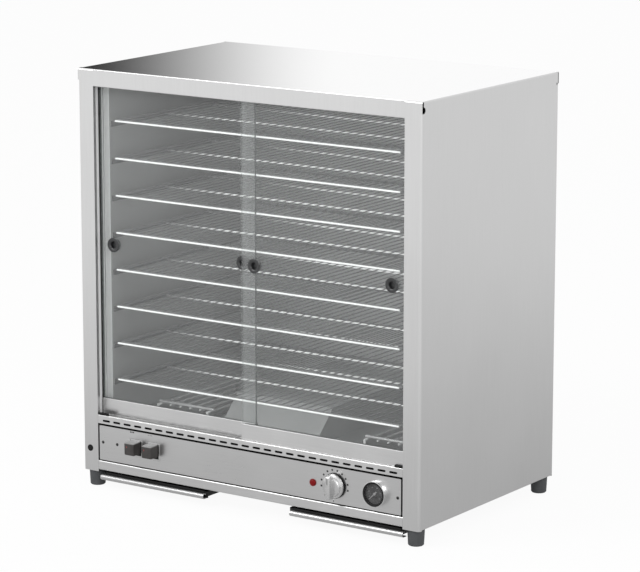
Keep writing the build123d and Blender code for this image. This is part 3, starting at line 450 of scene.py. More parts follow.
def element_sheath():
    """Steel tube with brown and grey patches."""
    f = Finish("element_sheath")
    heat = f.noise(30, 4, 0.6)
    shade = f.mix(f.vary(heat, 0.0, 1.0), (0.2, 0.17, 0.15), (0.4, 0.38, 0.37))
    return f.end(f.principled(Base_Color=shade, Metallic=1.0, Roughness=f.vary(heat, 0.4, 0.6)))


pilot_red = red_cap()
element_metal = element_sheath()
print("finishes", pilot_red.name, element_metal.name)

# %% [markdown]
# Every solid of the frame gets one finish. A rule on the names could pick it, but a
# table is easier to check. The eight racks are not in the table and take the finish of
# their wires.

# %% Give the CAD nodes their finishes
finishes = {
    "outer_shell": shell_steel, "back_panel": shell_steel, "bottom_pan": pan_steel,
    "lower_rail": sill_steel, "control_panel": panel_steel, "vent_strip": rail_steel,
    "door_track_lower": track_steel, "door_track_upper": track_steel,
    "jamb_left": jamb_steel, "jamb_right": jamb_steel, "door_seals": seal_rubber,
    "track_stops": black_plastic, "left_door_glass": rear_glass, "right_door_glass": door_glass,
    "left_door_rail": rail_steel, "right_door_rail": rail_steel,
    "left_door_glides": nylon, "right_door_glides": nylon,
    "left_door_pulls": pull_plastic, "right_door_pulls": pull_plastic,
    "liner_left": liner_steel, "liner_right": liner_steel, "liner_top": liner_steel,
    "liner_back": back_steel, "floor_pan": pan_steel, "centre_duct": pan_steel,
    "crumb_chutes": pan_steel, "heating_elements": element_metal, "element_guards": guard_wire,
    "rack_ledges": ledge_steel, "lamp_base": nylon, "lamp_lens": lamp_cover,
    "switch_left_housing": black_plastic, "switch_right_housing": black_plastic,
    "switch_left_rocker": rocker_plastic, "switch_right_rocker": rocker_plastic,
    "pilot_lamp": pilot_red, "thermostat_body": shaft_steel, "thermostat_shaft": shaft_steel,
    "thermostat_knob": knob_silver, "thermometer_case": chrome, "thermometer_dial": dial_face,
    "thermometer_needle": needle_paint, "thermometer_glass": gauge_glass,
    "crumb_tray_left": tray_steel, "crumb_tray_right": tray_steel, "tray_runners": tray_dark,
    "feet": rubber, "post_plug": black_plastic, "cable_gland": black_plastic,
    "terminal_block": terminal_plastic, "case_screws": screw_plate,
}
for name, node in nodes.items():
    node.data.materials.clear()
    node.data.materials.append(finishes.get(name, rack_wire))
print("finished nodes", len(nodes))

# %% [markdown]
# What repeats is drawn by Geometry Nodes, because a rule gives each wire, mark and
# screw its place. A loop could make the same meshes, but a tree can be opened in the
# editor and has its sizes as named inputs. The class holds such a tree. It runs the
# tree on a helper object, keeps the result as a plain mesh and removes the helper.

# %% Geometry Nodes helpers
class Growth(Graph):
    """A Geometry Nodes tree with named inputs, run once to make a plain mesh."""

    def __init__(self, name, sizes):
        super().__init__(bpy.data.node_groups.new(name, "GeometryNodeTree"))
        face = self.tree.interface
        face.new_socket("Geometry", in_out="INPUT", socket_type="NodeSocketGeometry")
        self.sizes = {}
        for key, value in sizes.items():
            kind = "NodeSocketInt" if isinstance(value, int) else "NodeSocketFloat"
            socket = face.new_socket(key, in_out="INPUT", socket_type=kind)
            self.sizes[key] = (socket.identifier, value)
        face.new_socket("Geometry", in_out="OUTPUT", socket_type="NodeSocketGeometry")
        self.inputs = self.tree.nodes.new("NodeGroupInput")

    def __getitem__(self, key):
        return Value(self, self.inputs.outputs[key])

    def xyz(self, x=0.0, y=0.0, z=0.0):
        """A vector of three numbers or values."""
        return self.node("ShaderNodeCombineXYZ", {}, {0: x, 1: y, 2: z})

    def join(self, *parts):
        """Several shapes as one."""
        node = self.tree.nodes.new("GeometryNodeJoinGeometry")
        for part in parts:
            self.tree.links.new(part.socket, node.inputs[0])
        return Value(self, node.outputs[0])

    def line(self, start, end):
        """A straight path for a rod."""
        return self.node("GeometryNodeCurvePrimitiveLine", {}, {"Start": start, "End": end})

    def rod(self, path, radius, sides):
        """A round rod of RADIUS along a curve, with its ends closed."""
        ring = self.node("GeometryNodeCurvePrimitiveCircle", {}, {
            "Resolution": sides, "Radius": radius})
        return self.node("GeometryNodeCurveToMesh", {}, {0: path, 1: ring, "Fill Caps": True})

    def moved(self, shape, x=0.0, y=0.0, z=0.0):
        """SHAPE in another place."""
        return self.node("GeometryNodeTransform", {}, {
            0: shape, "Translation": self.xyz(x, y, z)})

    def on_points(self, points, instance, **more):
        """INSTANCE at each of the points."""
        return self.node("GeometryNodeInstanceOnPoints", {}, {
            "Points": points, "Instance": instance, **more})

    def copies(self, count, start, offset, instance):
        """INSTANCE at COUNT points, the first at START and the next each OFFSET on."""
        points = self.node("GeometryNodeMeshLine", {}, {
            "Count": count, "Start Location": start, "Offset": offset})
        return self.on_points(points, instance)

    def end(self, shape, material, smooth=True):
        """Closes the tree in Realize Instances, shading and Set Material."""
        real = self.node("GeometryNodeRealizeInstances", {}, {0: shape})
        shaded = self.node("GeometryNodeSetShadeSmooth", {}, {0: real, "Shade Smooth": smooth})
        done = self.node("GeometryNodeSetMaterial", {}, {0: shaded, "Material": material})
        output = self.tree.nodes.new("NodeGroupOutput")
        self.tree.links.new(done.socket, output.inputs[0])

    def grow(self, name, sizes=None, points=()):
        """Runs the tree with these sizes and returns its result as a plain object."""
        start = bpy.data.meshes.new(name + "_host")
        start.from_pydata([Vector(p) for p in points], [], [])
        host = bpy.data.objects.new(name + "_host", start)
        scene.collection.objects.link(host)
        modifier = host.modifiers.new("grow", "NODES")
        modifier.node_group = self.tree
        for key, (identifier, value) in self.sizes.items():
            modifier[identifier] = (sizes or {}).get(key, value)
        graph = bpy.context.evaluated_depsgraph_get()
        mesh = bpy.data.meshes.new_from_object(host.evaluated_get(graph), depsgraph=graph)
        bpy.data.objects.remove(host)
        piece = bpy.data.objects.new(name, mesh)
        scene.collection.objects.link(piece)
        return piece


def made(piece, body, slot, *replaced):
    """Hangs a finished piece on the body it rides on and hides the nodes it stands for. SLOT is
    not used.
    """
    if replaced:
        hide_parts(*replaced)
    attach(piece, body)
    return piece


print("growth class ready")

# %% [markdown]
# Each rack has 35 thin wires that run from front to back. A bright round bar runs
# along its front, two bars lie across below the wires, and a thicker wire runs round
# the edge. The bars and the wires have different finishes, so each has a tree: the
# wires' dark grey is painted shade on what is chrome like the bars. Both trees run once
# for each rack with that rack's height. An Array modifier could repeat a wire too, but
# it has no named sizes. The front bar stands a little further forward than the solid's.

# %% Wire racks
rack_half = 271.2 * MM
bars = Growth("rack_bars", {
    "Half width": rack_half, "Front": 0.0, "Height": 0.0, "Bar radius": 1.5 * MM,
    "Cross radius": 1.4 * MM, "Cross first": cross_pitch, "Cross pitch": cross_pitch,
    "Cross bars": 2, "Cross half": 266 * MM, "Cross drop": 2.2 * MM})


def bar_across(half, radius):
    """A round bar from side to side, with its middle at the origin."""
    return bars.rod(bars.line(bars.xyz(half * -1), bars.xyz(half)), radius, 12)


front_bar = bars.moved(bar_across(bars["Half width"], bars["Bar radius"]),
                       0.0, bars["Front"], bars["Height"])
cross_bars = bars.copies(
    bars["Cross bars"],
    bars.xyz(0.0, bars["Front"] + bars["Cross first"], bars["Height"] - bars["Cross drop"]),
    bars.xyz(0.0, bars["Cross pitch"]), bar_across(bars["Cross half"], bars["Cross radius"]))
bars.end(bars.join(front_bar, cross_bars), rack_bar)

wires = Growth("rack_wires", {
    "Half width": rack_half, "Front": 0.0, "Depth": 342 * MM, "Height": 0.0,
    "Wire radius": 0.9 * MM, "Wires": 35, "Wire pitch": 15.5 * MM, "Wire rise": 1.0 * MM,
    "Side radius": 2.1 * MM, "Corner": 6.0 * MM})
wire = wires.rod(wires.line(wires.xyz(), wires.xyz(0.0, wires["Depth"], 0.0)),
                 wires["Wire radius"], 8)
first_x = (wires["Wires"] - 1) * wires["Wire pitch"] * -0.5
wire_row = wires.copies(
    wires["Wires"], wires.xyz(first_x, wires["Front"], wires["Height"] + wires["Wire rise"]),
    wires.xyz(wires["Wire pitch"]), wire)
hoop_depth = wires["Depth"] - wires["Corner"]
hoop = wires.node("GeometryNodeCurvePrimitiveQuadrilateral", {}, {
    "Width": wires["Half width"] * 2, "Height": hoop_depth})
hoop = wires.node("GeometryNodeFilletCurve", {"mode": "POLY"}, {
    "Curve": hoop, "Radius": wires["Corner"], "Count": 5})
hoop = wires.moved(hoop, 0.0, wires["Front"] + wires["Corner"] + hoop_depth * 0.5,
                   wires["Height"])
wires.end(wires.join(wire_row, wires.rod(hoop, wires["Side radius"], 12)), rack_wire)

rack_count = 8
bar_radius = 2.5 * MM
rack_forward = 5.0 * MM
for index in range(rack_count):
    node_name = "rack_" + str(index + 1)
    low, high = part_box(node_name)
    place = {"Front": low.y + bar_radius - rack_forward, "Height": high.z - bar_radius}
    depth = high.y - low.y - 2 * bar_radius + rack_forward
    bar_piece = bars.grow("bars_" + node_name, {
        **place, "Cross first": cross_pitch + rack_forward})
    made(bar_piece, "cabinet", "rack_chrome", node_name)
    wire_piece = wires.grow("wires_" + node_name, {**place, "Depth": depth})
    made(wire_piece, "cabinet", "rack_chrome")
print("rack faces", len(bar_piece.data.polygons), len(wire_piece.data.polygons))

# %% [markdown]
# The knob and the thermometer's bezel and rim are turned parts. Each is a profile
# spun round an axis that points at the viewer. A Screw modifier could spin it; the
# loop here closes the ring itself, and doubles at the middle are merged. The knob's
# grip is a bar across its face, with eased edges and a pointer line. These pieces are
# drawn in mm, with the depth counted from the panel's face, and made metres at the
# end.

# %% Turned parts
panel_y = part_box("control_panel")[0].y
weld = 0.002 * MM
crease = math.radians(35)


def middle(node_name):
    """The middle of a solid, across and up, in metres."""
    low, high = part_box(node_name)
    return (low.x + high.x) / 2, (low.z + high.z) / 2


def plain_object(name, shape, material):
    """A bmesh as an object, with its normals outwards and its sharp edges kept."""
    mesh = bpy.data.meshes.new(name)
    bmesh.ops.remove_doubles(shape, verts=shape.verts, dist=weld)
    bmesh.ops.recalc_face_normals(shape, faces=shape.faces)
    shape.to_mesh(mesh)
    shape.free()
    mesh.materials.append(material)
    mesh.shade_smooth()
    mesh.set_sharp_from_angle(angle=crease)
    piece = bpy.data.objects.new(name, mesh)
    scene.collection.objects.link(piece)
    return piece


def turned(name, profile, x, z, material, steps=96):
    """Spins (radius, depth behind the panel's face) points, in mm, about the Y axis."""
    shape = bmesh.new()
    rings = []
    for i in range(steps):
        angle = 2 * math.pi * i / steps
        rings.append([shape.verts.new((
            x + radius * MM * math.cos(angle), panel_y + depth * MM,
            z + radius * MM * math.sin(angle))) for radius, depth in profile])
    for i in range(steps):
        near, far = rings[i], rings[(i + 1) % steps]
        for j in range(len(profile)):
            k = (j + 1) % len(profile)
            if profile[j][0] == 0 and profile[k][0] == 0:
                continue
            corners = [near[j], near[k]]
            corners += [far[k]] if profile[k][0] else []
            corners += [far[j]] if profile[j][0] else []
            shape.faces.new(corners)
    return plain_object(name, shape, material)


def eased_box(name, low, high, ease, material, tilt=None, taper=0.0):
    """A box in mm behind the panel's face, its edges eased, tapering to the front.

    TILT is the point it turns about and the angle, in degrees."""
    shape = bmesh.new()
    bmesh.ops.create_cube(shape, size=1.0)
    for v in shape.verts:
        v.co = Vector([(l + h) / 2 + c * (h - l) for l, h, c in zip(low, high, v.co)])
        if v.co.y < (low[1] + high[1]) / 2:
            for axis in (0, 2):
                centre = (low[axis] + high[axis]) / 2
                v.co[axis] -= math.copysign(taper, v.co[axis] - centre)
    bmesh.ops.bevel(shape, geom=shape.edges[:], offset=ease, segments=4, profile=0.5,
                    affect="EDGES")
    if tilt:
        pivot, angle = tilt
        tipped = Matrix.Rotation(math.radians(angle), 3, "X")
        bmesh.ops.rotate(shape, verts=shape.verts, cent=pivot, matrix=tipped)
    bmesh.ops.scale(shape, verts=shape.verts, vec=(MM, MM, MM))
    bmesh.ops.translate(shape, verts=shape.verts, vec=(0, panel_y, 0))
    return plain_object(name, shape, material)


def block(name, centre, halves, depths, ease, material, **more):
    """An eased box by its middle (x, z), its half sizes and its front and back."""
    (x, z), (half_x, half_z), (front, back) = centre, halves, depths
    return eased_box(name, (x - half_x, front, z - half_z), (x + half_x, back, z + half_z),
                     ease, material, **more)


def joined(name, *pieces):
    """Several pieces as one object, each face keeping its own finish."""
    whole = bmesh.new()
    mesh = bpy.data.meshes.new(name)
    for piece in pieces:
        start = len(whole.faces)
        whole.from_mesh(piece.data)
        whole.faces.ensure_lookup_table()
        finish = piece.data.materials[0]
        if finish.name not in [m.name for m in mesh.materials]:
            mesh.materials.append(finish)
        for face in whole.faces[start:]:
            face.material_index = mesh.materials.find(finish.name)
        bpy.data.objects.remove(piece)
    whole.to_mesh(mesh)
    whole.free()
    result = bpy.data.objects.new(name, mesh)
    scene.collection.objects.link(result)
    return result


dial_x, dial_z = middle("thermostat_knob")
skirt = turned("skirt", [(0, -1), (19.2, -1), (20, -1.5), (20, -3.4), (19.5, -3.8), (0, -3.8)],
               dial_x, dial_z, black_plastic)
cap = turned("cap", [(0, -3.6), (19.4, -3.6), (19.4, -5.2), (18.7, -6.4), (17.2, -7),
                     (16.2, -7.6), (15.2, -10.4), (14.2, -11.3), (12.6, -11.6), (0, -11.6)],
             dial_x, dial_z, knob_silver)
grip_front, pointer_rise = -20.8, 11.25
knob_x, knob_z = dial_x / MM, dial_z / MM
grip = block("grip", (knob_x, knob_z), (4.9, 18.6), (grip_front, -9), 1.5, knob_silver,
             taper=0.7)
pointer = block("pointer", (knob_x, knob_z + pointer_rise), (0.5, 5.25),
                (grip_front - 0.15, grip_front + 0.4), 0.1, mark_paint)
made(joined("knob", skirt, cap, grip, pointer), "dial", "knob_silver", "thermostat_knob")

gauge_x, gauge_z = middle("thermometer_case")
barrel = turned("barrel", [(0, 22), (18.4, 22), (18.4, 0), (20.5, 0), (20.5, -8.6), (20.1, -9.4),
                           (19.4, -9.6), (19.4, -8.8), (19.3, -4.8), (0, -4.8)],
                gauge_x, gauge_z, chrome)
rim = turned("rim", [(19.35, -9.2), (19.1, -9.9), (18.2, -10), (16.6, -9.4), (16.2, -5.6),
                     (19.35, -5.6)], gauge_x, gauge_z, black_plastic)
made(joined("gauge_case", barrel, rim), "cabinet", "gauge_chrome", "thermometer_case")
print("knob at", round(dial_x, 4), round(dial_z, 4))

# %% [markdown]
# The finger pulls are moulded cups pushed through holes in the glass. Each has a broad
# rounded flange round a narrow recess. A ring and a cup could be put together, but
# one turned outline has both and leaves no join.

# %% Finger pulls
pull_hole, pull_flange, cup_wall = 10, 11.6, 1.2
for side in ("left", "right"):
    low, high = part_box(side + "_door_pulls")
    front, back = (low.y - panel_y) / MM, (high.y - panel_y) / MM
    centre_z, reach = (low.z + high.z) / 2, (high.z - low.z) / 2
    outline = [(0, back), (pull_hole, back), (pull_hole, front + cup_wall),
               (pull_flange, front + cup_wall), (pull_flange, front + 0.7),
               (10.9, front + 0.1), (9.6, front), (7.4, front + 0.1), (6, front + 0.8),
               (5.2, front + 2), (4.8, back - cup_wall), (0, back - cup_wall)]
    cups = [turned("cup", outline, x, centre_z, pull_plastic)
            for x in (low.x + reach, high.x - reach)]
    made(joined("pulls_" + side, *cups), side + "_door", "pull_plastic", side + "_door_pulls")
print("finger pulls on the last door", len(cups))

# %% [markdown]
# Marks round a dial follow a rule: so many, so far apart, on one circle. They could be
# a picture on the face, but small shapes stay sharp from near by. A line of points is
# moved on to the circle by its index, and each point gets one mark that is turned to
# face the centre.

# %% Marks on a circle
marks = Growth("circle_marks", {
    "Count": 10, "Start": 0.0, "Step": 0.38, "Radius": 25 * MM, "Centre x": 0.0,
    "Face y": 0.0, "Centre z": 0.0, "Mark long": 2.0 * MM, "Mark wide": 2.0 * MM,
    "Mark deep": 0.2 * MM})
angle = marks["Start"] + marks.node("GeometryNodeInputIndex") * marks["Step"]
points = marks.node("GeometryNodeMeshLine", {}, {"Count": marks["Count"]})
spot = marks.xyz(marks["Centre x"] + angle.math("COSINE") * marks["Radius"], marks["Face y"],
                 marks["Centre z"] + angle.math("SINE") * marks["Radius"])
points = marks.node("GeometryNodeSetPosition", {}, {"Geometry": points, "Position": spot})
one_mark = marks.node("GeometryNodeMeshCube", {}, {
    "Size": marks.xyz(marks["Mark long"], marks["Mark deep"], marks["Mark wide"])})
inwards = marks.node("FunctionNodeEulerToRotation", {}, {0: marks.xyz(0.0, angle * -1, 0.0)})
marks.end(marks.on_points(points, one_mark, Rotation=inwards), mark_paint, smooth=False)


def mark_ring(name, slot, centre, ring, size, material=mark_paint):
    """A ring of marks round CENTRE (x, y, z).

    RING is the count, the first angle and the step in degrees, and the radius in mm.
    SIZE is a mark's length towards the centre and its width, in mm."""
    count, start, step, radius = ring
    piece = marks.grow(name, {
        "Count": count, "Start": math.radians(start), "Step": math.radians(step),
        "Radius": radius * MM, "Centre x": centre[0], "Face y": centre[1],
        "Centre z": centre[2], "Mark long": size[0] * MM, "Mark wide": size[1] * MM})
    piece.data.materials[0] = material
    return made(piece, "cabinet", slot)


dial_centre = (dial_x, panel_y, dial_z)
mark_ring("dial_dots", "switch_plastic", dial_centre, (10, -10, 22, 25), (2.8, 2.8))
mark_ring("dial_low_marks", "switch_plastic", dial_centre, (3, 224, 21, 25), (2.2, 1.2))
scale_start, scale_sweep, long_steps, ticks_a_step = -35, 247.5, 5, 9
short_steps = long_steps * ticks_a_step
gauge_centre = (gauge_x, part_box("thermometer_dial")[0].y, gauge_z)
mark_ring("gauge_ticks", "needle_white", gauge_centre,
          (short_steps + 1, scale_start, scale_sweep / short_steps, 14.6), (1.6, 0.25),
          pale_paint)
mark_ring("gauge_long_ticks", "needle_white", gauge_centre,
          (long_steps + 1, scale_start, scale_sweep / long_steps, 13.9), (3.0, 0.5),
          pale_paint)
print("ticks on the thermometer", short_steps + 1)

# %% [markdown]
# The numbers on the thermometer can't be read in the photograph, so a plain scale
# from 0 to 150 stands for them. The digits could be drawn as outlines, but a text
# object has them ready. It is a kind of curve, so it is made a mesh first and then
# stood up and moved to its place.

# %% Numbers on the thermometer
number_height, number_depth, number_radius = 2.6 * MM, 0.05 * MM, 10.6 * MM
number_step = 30


def number(text, x, y, z):
    """One upright number, with its middle at a place in metres."""
    data = bpy.data.curves.new("number", "FONT")
    data.body, data.size = text, number_height
    data.align_x, data.align_y = "CENTER", "CENTER"
    data.extrude = number_depth
    curve = bpy.data.objects.new("number", data)
    scene.collection.objects.link(curve)
    mesh = bpy.data.meshes.new_from_object(curve)
    bpy.data.objects.remove(curve)
    mesh.transform(Matrix.Translation((x, y, z)) @ Matrix.Rotation(math.pi / 2, 4, "X"))
    mesh.materials.append(pale_paint)
    piece = bpy.data.objects.new("number", mesh)
    scene.collection.objects.link(piece)
    return piece


numbers = []
for index in range(long_steps + 1):
    around = math.radians(scale_start + scale_sweep * (1 - index / long_steps))
    numbers.append(number(
        str(index * number_step), gauge_x + number_radius * math.cos(around),
        gauge_centre[1], gauge_z + number_radius * math.sin(around)))
made(joined("gauge_numbers", *numbers), "cabinet", "needle_white")
print("numbers", len(numbers))

# %% [markdown]
# The two switches have tall moulded caps that rock in a thin steel plate. The caps
# are dark, with a painted highlight on top and a small red mark that shows when they
# are on. A cap could be sculpted, but its shape is a plain one, so it is a box with
# eased edges that narrows a little to the front and leans a little.

# %% Switches
cap_rise, cap_front, cap_tilt, pivot_depth = 1.8, -19, 1.5, 3.0
for side in ("left", "right"):
    x, z = (v / MM for v in middle("switch_" + side + "_housing"))
    plate = block("plate", (x, z), (13.5, 14.5), (-0.7, 0.05), 0.3, panel_steel)
    back = block("back", (x, z), (12, 13), (6, 25), 0.6, black_plastic)
    well = block("well", (x, z), (11.4, 12.4), (-0.9, 1.2), 0.2, black_plastic)
    made(joined("switch_" + side + "_frame", plate, back, well), "cabinet", "switch_plastic",
         "switch_" + side + "_housing")
    tilt = ((x, pivot_depth, z), cap_tilt)
    cap = block("cap", (x, z + cap_rise), (10.4, 10.8), (cap_front, 4), 2.3,
                rocker_plastic, tilt=tilt, taper=0.5)
    red_mark = block("mark", (x - 4.5, z + 3.5 + cap_rise), (0.9, 1.3),
                     (cap_front - 0.08, cap_front + 0.4), 0.1, red_paint, tilt=tilt)
    made(joined("switch_" + side + "_cap", cap, red_mark), "switch_" + side, "switch_plastic",
         "switch_" + side + "_rocker")
print("last switch at", round(x), round(z))

# %% [markdown]
# Small printed marks stand over the two switches. A text object could make them, but
# at this size plain bars look the same. A plastic plug closes the spare hole in the
# left post. It is turned like the knob.

# %% Printed marks and the plug in the post
label_rise, label_half, print_gap = 26.3, 1, 0.8
label_z = middle("control_panel")[1] / MM + label_rise
left_prints = (-229.6, (2.2, 1.6, 2.6), mark_paint)
right_prints = (-193.6, (3.4, 5.0), pale_paint)
printed = []
for start, lengths, ink in (left_prints, right_prints):
    for length in lengths:
        printed.append(eased_box("print", (start, -0.1, label_z - label_half),
                                 (start + length, 0.02, label_z + label_half), 0.03, ink))
        start += length + print_gap
made(joined("panel_labels", *printed), "cabinet", "switch_plastic")
plug_outline = [(0, 3.8), (3, 3.8), (3, 0), (5.4, 0), (5.4, -0.4), (4.9, -0.9), (0, -0.95)]
plug = turned("plug", plug_outline, *middle("post_plug"), black_plastic)
made(plug, "cabinet", "switch_plastic", "post_plug")
print("printed marks", len(printed))

# %% [markdown]
# Each crumb tray is a shallow folded pan with a bright rolled lip to pull it by. The pan
# and the runners under it are near black: painted shade for the dark gap under the case.
# A flat outline with a Solidify modifier could make the pan, but its walls are all
# plain, so thin boxes do. The lip is one curled profile run along the front. The two
# lips end differently in the photograph, so a table says how far each runs past its
# pan, inwards and outwards.

# %% Crumb trays
pan_in, pan_out = 86, 288
pan_front, pan_back = 8, 333
pan_low, pan_top, pan_wall, pan_flange = 13.3, 24.3, 1, 6
curl_y, curl_z, curl, curl_steps = 1.5, pan_low + 4.1, 4.5, 14
lip_reach = {"left": (4, 2), "right": (0, 9)}


def run_along_x(name, profile, x0, x1, material):
    """A closed (depth, height) profile in mm, extruded from X0 to X1."""
    shape = bmesh.new()
    ends = [[shape.verts.new((x * MM, panel_y + y * MM, z * MM)) for y, z in profile]
            for x in (x0, x1)]
    for ring in ends:
        shape.faces.new(ring)
    for j in range(len(profile)):
        k = (j + 1) % len(profile)
        shape.faces.new((ends[0][j], ends[0][k], ends[1][k], ends[1][j]))
    return plain_object(name, shape, material)


def arc(radius, angles):
    """Points round the middle of the lip's curl."""
    return [(curl_y + radius * math.cos(a), curl_z + radius * math.sin(a)) for a in angles]


def mirrored(way, inner, outer):
    """Two x values, in rising order, on the side of the case that WAY gives."""
    return sorted((way * inner, way * outer))


def pan_sheet(way, x, y, z):
    """A thin wall of the pan between pairs of x, y and z."""
    x0, x1 = mirrored(way, *x)
    return eased_box("sheet", (x0, y[0], z[0]), (x1, y[1], z[1]), 0.12, tray_dark)


turns = [math.radians(270 - 240 * i / curl_steps) for i in range(curl_steps + 1)]
tail_y = pan_front + pan_wall
lip_profile = arc(curl, turns) + arc(curl - pan_wall, reversed(turns)) + [
    (tail_y, curl_z - curl + pan_wall), (tail_y, curl_z - curl)]
for side, way in (("left", -1), ("right", 1)):
    depth, height = (pan_front, pan_back), (pan_low, pan_top)
    flange_height = (pan_top - pan_wall, pan_top)
    sheets = [
        pan_sheet(way, (pan_in, pan_out), depth, (pan_low, pan_low + pan_wall)),
        pan_sheet(way, (pan_in, pan_in + pan_wall), depth, height),
        pan_sheet(way, (pan_out - pan_wall, pan_out), depth, height),
        pan_sheet(way, (pan_in - pan_flange, pan_out), (pan_front, tail_y), height),
        pan_sheet(way, (pan_in, pan_out), (pan_back - pan_wall, pan_back), height),
        pan_sheet(way, (pan_in - pan_flange, pan_in + pan_wall), depth, flange_height),
        pan_sheet(way, (pan_out - pan_wall, pan_out + pan_flange), depth, flange_height)]
    lip_ends = mirrored(way, pan_in - lip_reach[side][0], pan_out + lip_reach[side][1])
    lip = run_along_x("lip", lip_profile, *lip_ends, tray_steel)
    made(joined("tray_" + side, lip, *sheets), "tray_" + side, "tray_steel",
         "crumb_tray_" + side)
print("last lip runs over x", *lip_ends)

# %% [markdown]
# Cross-recessed screws hold the panel and the back. The recess could be cut out of the
# head, but a black cross that stands just proud of it looks the same: painted shade for
# the dark hollow. The heads and the crosses are grown on the same list of points,
# because each has its own finish. The places in front are given by x and the height
# above the feet, in mm.

# %% Screws
feet_height = 26.0
front_screws = ((-285.4, 50.7), (-256.4, 50.8), (286.6, 48.0))
back_screw_x, back_screw_first, back_screw_pitch, back_screw_rows = 318, 60, 180, 4


def screw_points():
    """The places of the screw heads in the panel and in the back, in metres."""
    places = [(x * MM, panel_y, (feet_height + z) * MM) for x, z in front_screws]
    back_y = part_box("back_panel")[1].y
    for row in range(back_screw_rows):
        z = (back_screw_first + back_screw_pitch * row) * MM
        places += [(x * MM, back_y, z) for x in (-back_screw_x, back_screw_x)]
    return places


places = screw_points()
heads = Growth("screw_heads", {"Head radius": 2.6 * MM, "Head height": 1.2 * MM})
ball = heads.node("GeometryNodeMeshUVSphere", {}, {
    "Segments": 20, "Rings": 8, "Radius": heads["Head radius"]})
flat = heads["Head height"] / heads["Head radius"]
ball = heads.node("GeometryNodeTransform", {}, {0: ball, "Scale": heads.xyz(1.0, flat, 1.0)})
heads.end(heads.on_points(heads["Geometry"], ball), screw_plate)
# Painted shade: a black cross stands in for the shaded hollow of the recess.
recess = Growth("screw_recess", {"Arm": 2.6 * MM, "Width": 0.6 * MM, "Reach": 2.5 * MM})
arms = [recess.node("GeometryNodeMeshCube", {}, {"Size": size}) for size in (
    recess.xyz(recess["Arm"], recess["Reach"], recess["Width"]),
    recess.xyz(recess["Width"], recess["Reach"], recess["Arm"]))]
recess.end(recess.on_points(recess["Geometry"], recess.join(*arms)), black_plastic, smooth=False)
made(heads.grow("screw_heads", points=places), "cabinet", "shaft_steel", "case_screws")
made(recess.grow("screw_recess_shades", points=places), "cabinet", "shaft_steel")
print("screws", len(places))

# %% [markdown]
# The case stands in a plain white studio with a faint shadow. A pale floor under
# bright lamps could give that, but its grey would change with every lamp. So the floor
# is white to the camera by itself and keeps a share of the shadow. Steel shows what is
# around it: in reflections the floor has painted shade, grey near the case and a tenth
# darker behind it, and white further off.

# %% Studio floor
def studio_white(name, shade_share, near, near_shade_grey, far):
    """White to the camera and in reflections, and a lit surface for other light.

    In reflections it has painted shade: NEAR_SHADE_GREY up to NEAR metres from the
    middle, and white from FAR on. The camera sees SHADE_SHARE of the shadow on it."""
    f = Finish(name)
    camera_ray = f.node("ShaderNodeLightPath", out="Is Camera Ray")
    glossy = camera_ray.beside("Is Glossy Ray")
    through = camera_ray.beside("Is Transmission Ray")
    seen = (camera_ray + glossy + through).math("MINIMUM", 1.0)
    cloth = f.node("ShaderNodeBsdfDiffuse", {}, {"Color": rgba(grey(0.86))})
    away = f.node("ShaderNodeVectorMath", {"operation": "LENGTH"}, {0: f.place}, out="Value")
    mirrored_white = f.spread(away, near, far, near_shade_grey, 1.05)
    # Painted shade in reflections: a tenth darker behind the case than in front of it.
    behind_shade = f.spread(f.axis("Y"), -0.3, 0.6, 1.0, 0.9)
    mirrored_white = mirrored_white * behind_shade
    strength = mirrored_white * glossy + (1 - glossy)
    glow = f.node("ShaderNodeEmission", {}, {"Color": rgba(grey(1)), "Strength": strength})
    return f.end(f.blend(seen * (1 - shade_share), cloth, glow))


def flat_sheet(name, corners, material):
    """One flat face."""
    mesh = bpy.data.meshes.new(name)
    mesh.from_pydata([Vector(c) for c in corners], [], [list(range(len(corners)))])
    mesh.materials.append(material)
    sheet = bpy.data.objects.new(name, mesh)
    scene.collection.objects.link(sheet)
    return sheet


floor_half = 40.0
floor_corners = [(floor_half * x, floor_half * y, 0) for x, y in (
    (-1, -1), (1, -1), (1, 1), (-1, 1))]
floor = flat_sheet("floor", floor_corners, studio_white(
    "studio_floor", shade_share=0.06, near=0.45, near_shade_grey=0.6, far=2.6))
print("floor", floor.name)

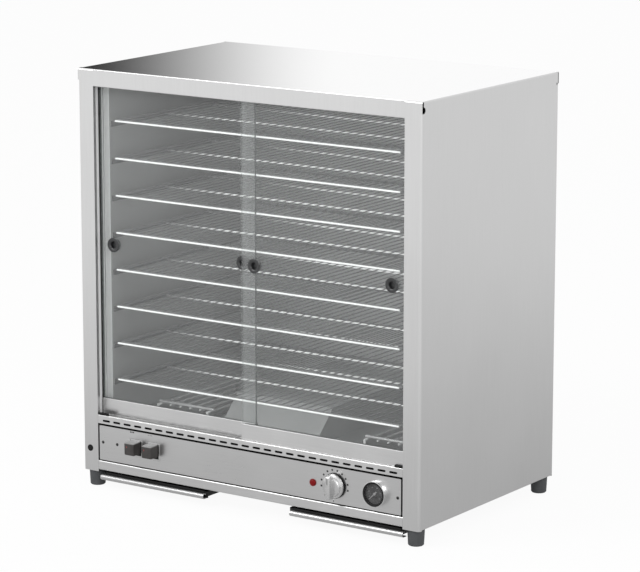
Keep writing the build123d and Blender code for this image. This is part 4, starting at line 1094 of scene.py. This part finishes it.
# %% [markdown]
# The world is white all round to the camera. Reflections also see one dark card, low
# at the back left, whose edges draw the dark corner of the roof. It could be an
# object, but as a part of the world it casts no shadow and is never seen through the
# glass. Angles are counted from the right side of the case round by its back.

# %% World
card_start, card_full = math.radians(124.2), math.radians(129.2)
card_fades, card_end = math.radians(150), math.radians(172)
card_top, card_gone = 0.3, 0.5
card_darkness = 0.97
other_light = 0.68

world = bpy.data.worlds.new("studio")
scene.world = world
world.use_nodes = True
sky = Graph(world.node_tree)
sky.tree.nodes.clear()


def soft_step(value, low, high):
    """0 below LOW and 1 above HIGH, with a soft change between them."""
    return sky.node("ShaderNodeMapRange", {"interpolation_type": "SMOOTHSTEP"}, {
        "Value": value, "From Min": low, "From Max": high})


camera_ray = sky.node("ShaderNodeLightPath", out="Is Camera Ray")
glossy = camera_ray.beside("Is Glossy Ray")
heading = sky.node("ShaderNodeTexCoord", out="Generated")
east = sky.node("ShaderNodeSeparateXYZ", {}, {0: heading})
north, up = east.beside("Y"), east.beside("Z")
bearing = north.math("ARCTAN2", east)
card = soft_step(bearing, card_start, card_full)
card = card * (1 - soft_step(bearing, card_fades, card_end))
card = card * (1 - soft_step(up, card_top, card_gone))
level = (camera_ray + glossy) * (1 - other_light) + other_light - card * glossy * card_darkness
glow = sky.node("ShaderNodeBackground", {}, {"Color": rgba(grey(1)), "Strength": level})
sky.node("ShaderNodeOutputWorld", {}, {"Surface": glow})
print("world", world.name)

# %% [markdown]
# Two soft square lamps light the case: a key from the front left and a weaker fill
# from the front right, which reaches the side wall. Point lamps would draw hard
# shadows that the photograph hasn't got.

# %% Lamps
aim = (0, 0, 0.35)


def area(name, place, size, power):
    """A square lamp that points at the middle of the case."""
    data = bpy.data.lights.new(name, "AREA")
    data.size = size
    data.energy = power
    lamp = bpy.data.objects.new(name, data)
    scene.collection.objects.link(lamp)
    lamp.location = place
    towards = Vector(aim) - Vector(place)
    lamp.rotation_euler = towards.to_track_quat("-Z", "Y").to_euler()


area("key", (-1.6, -2.6, 2.6), 1.6, 55)
area("fill", (2.2, -2.2, 1.8), 1.4, 22)
print("lamps", len(bpy.data.lights))
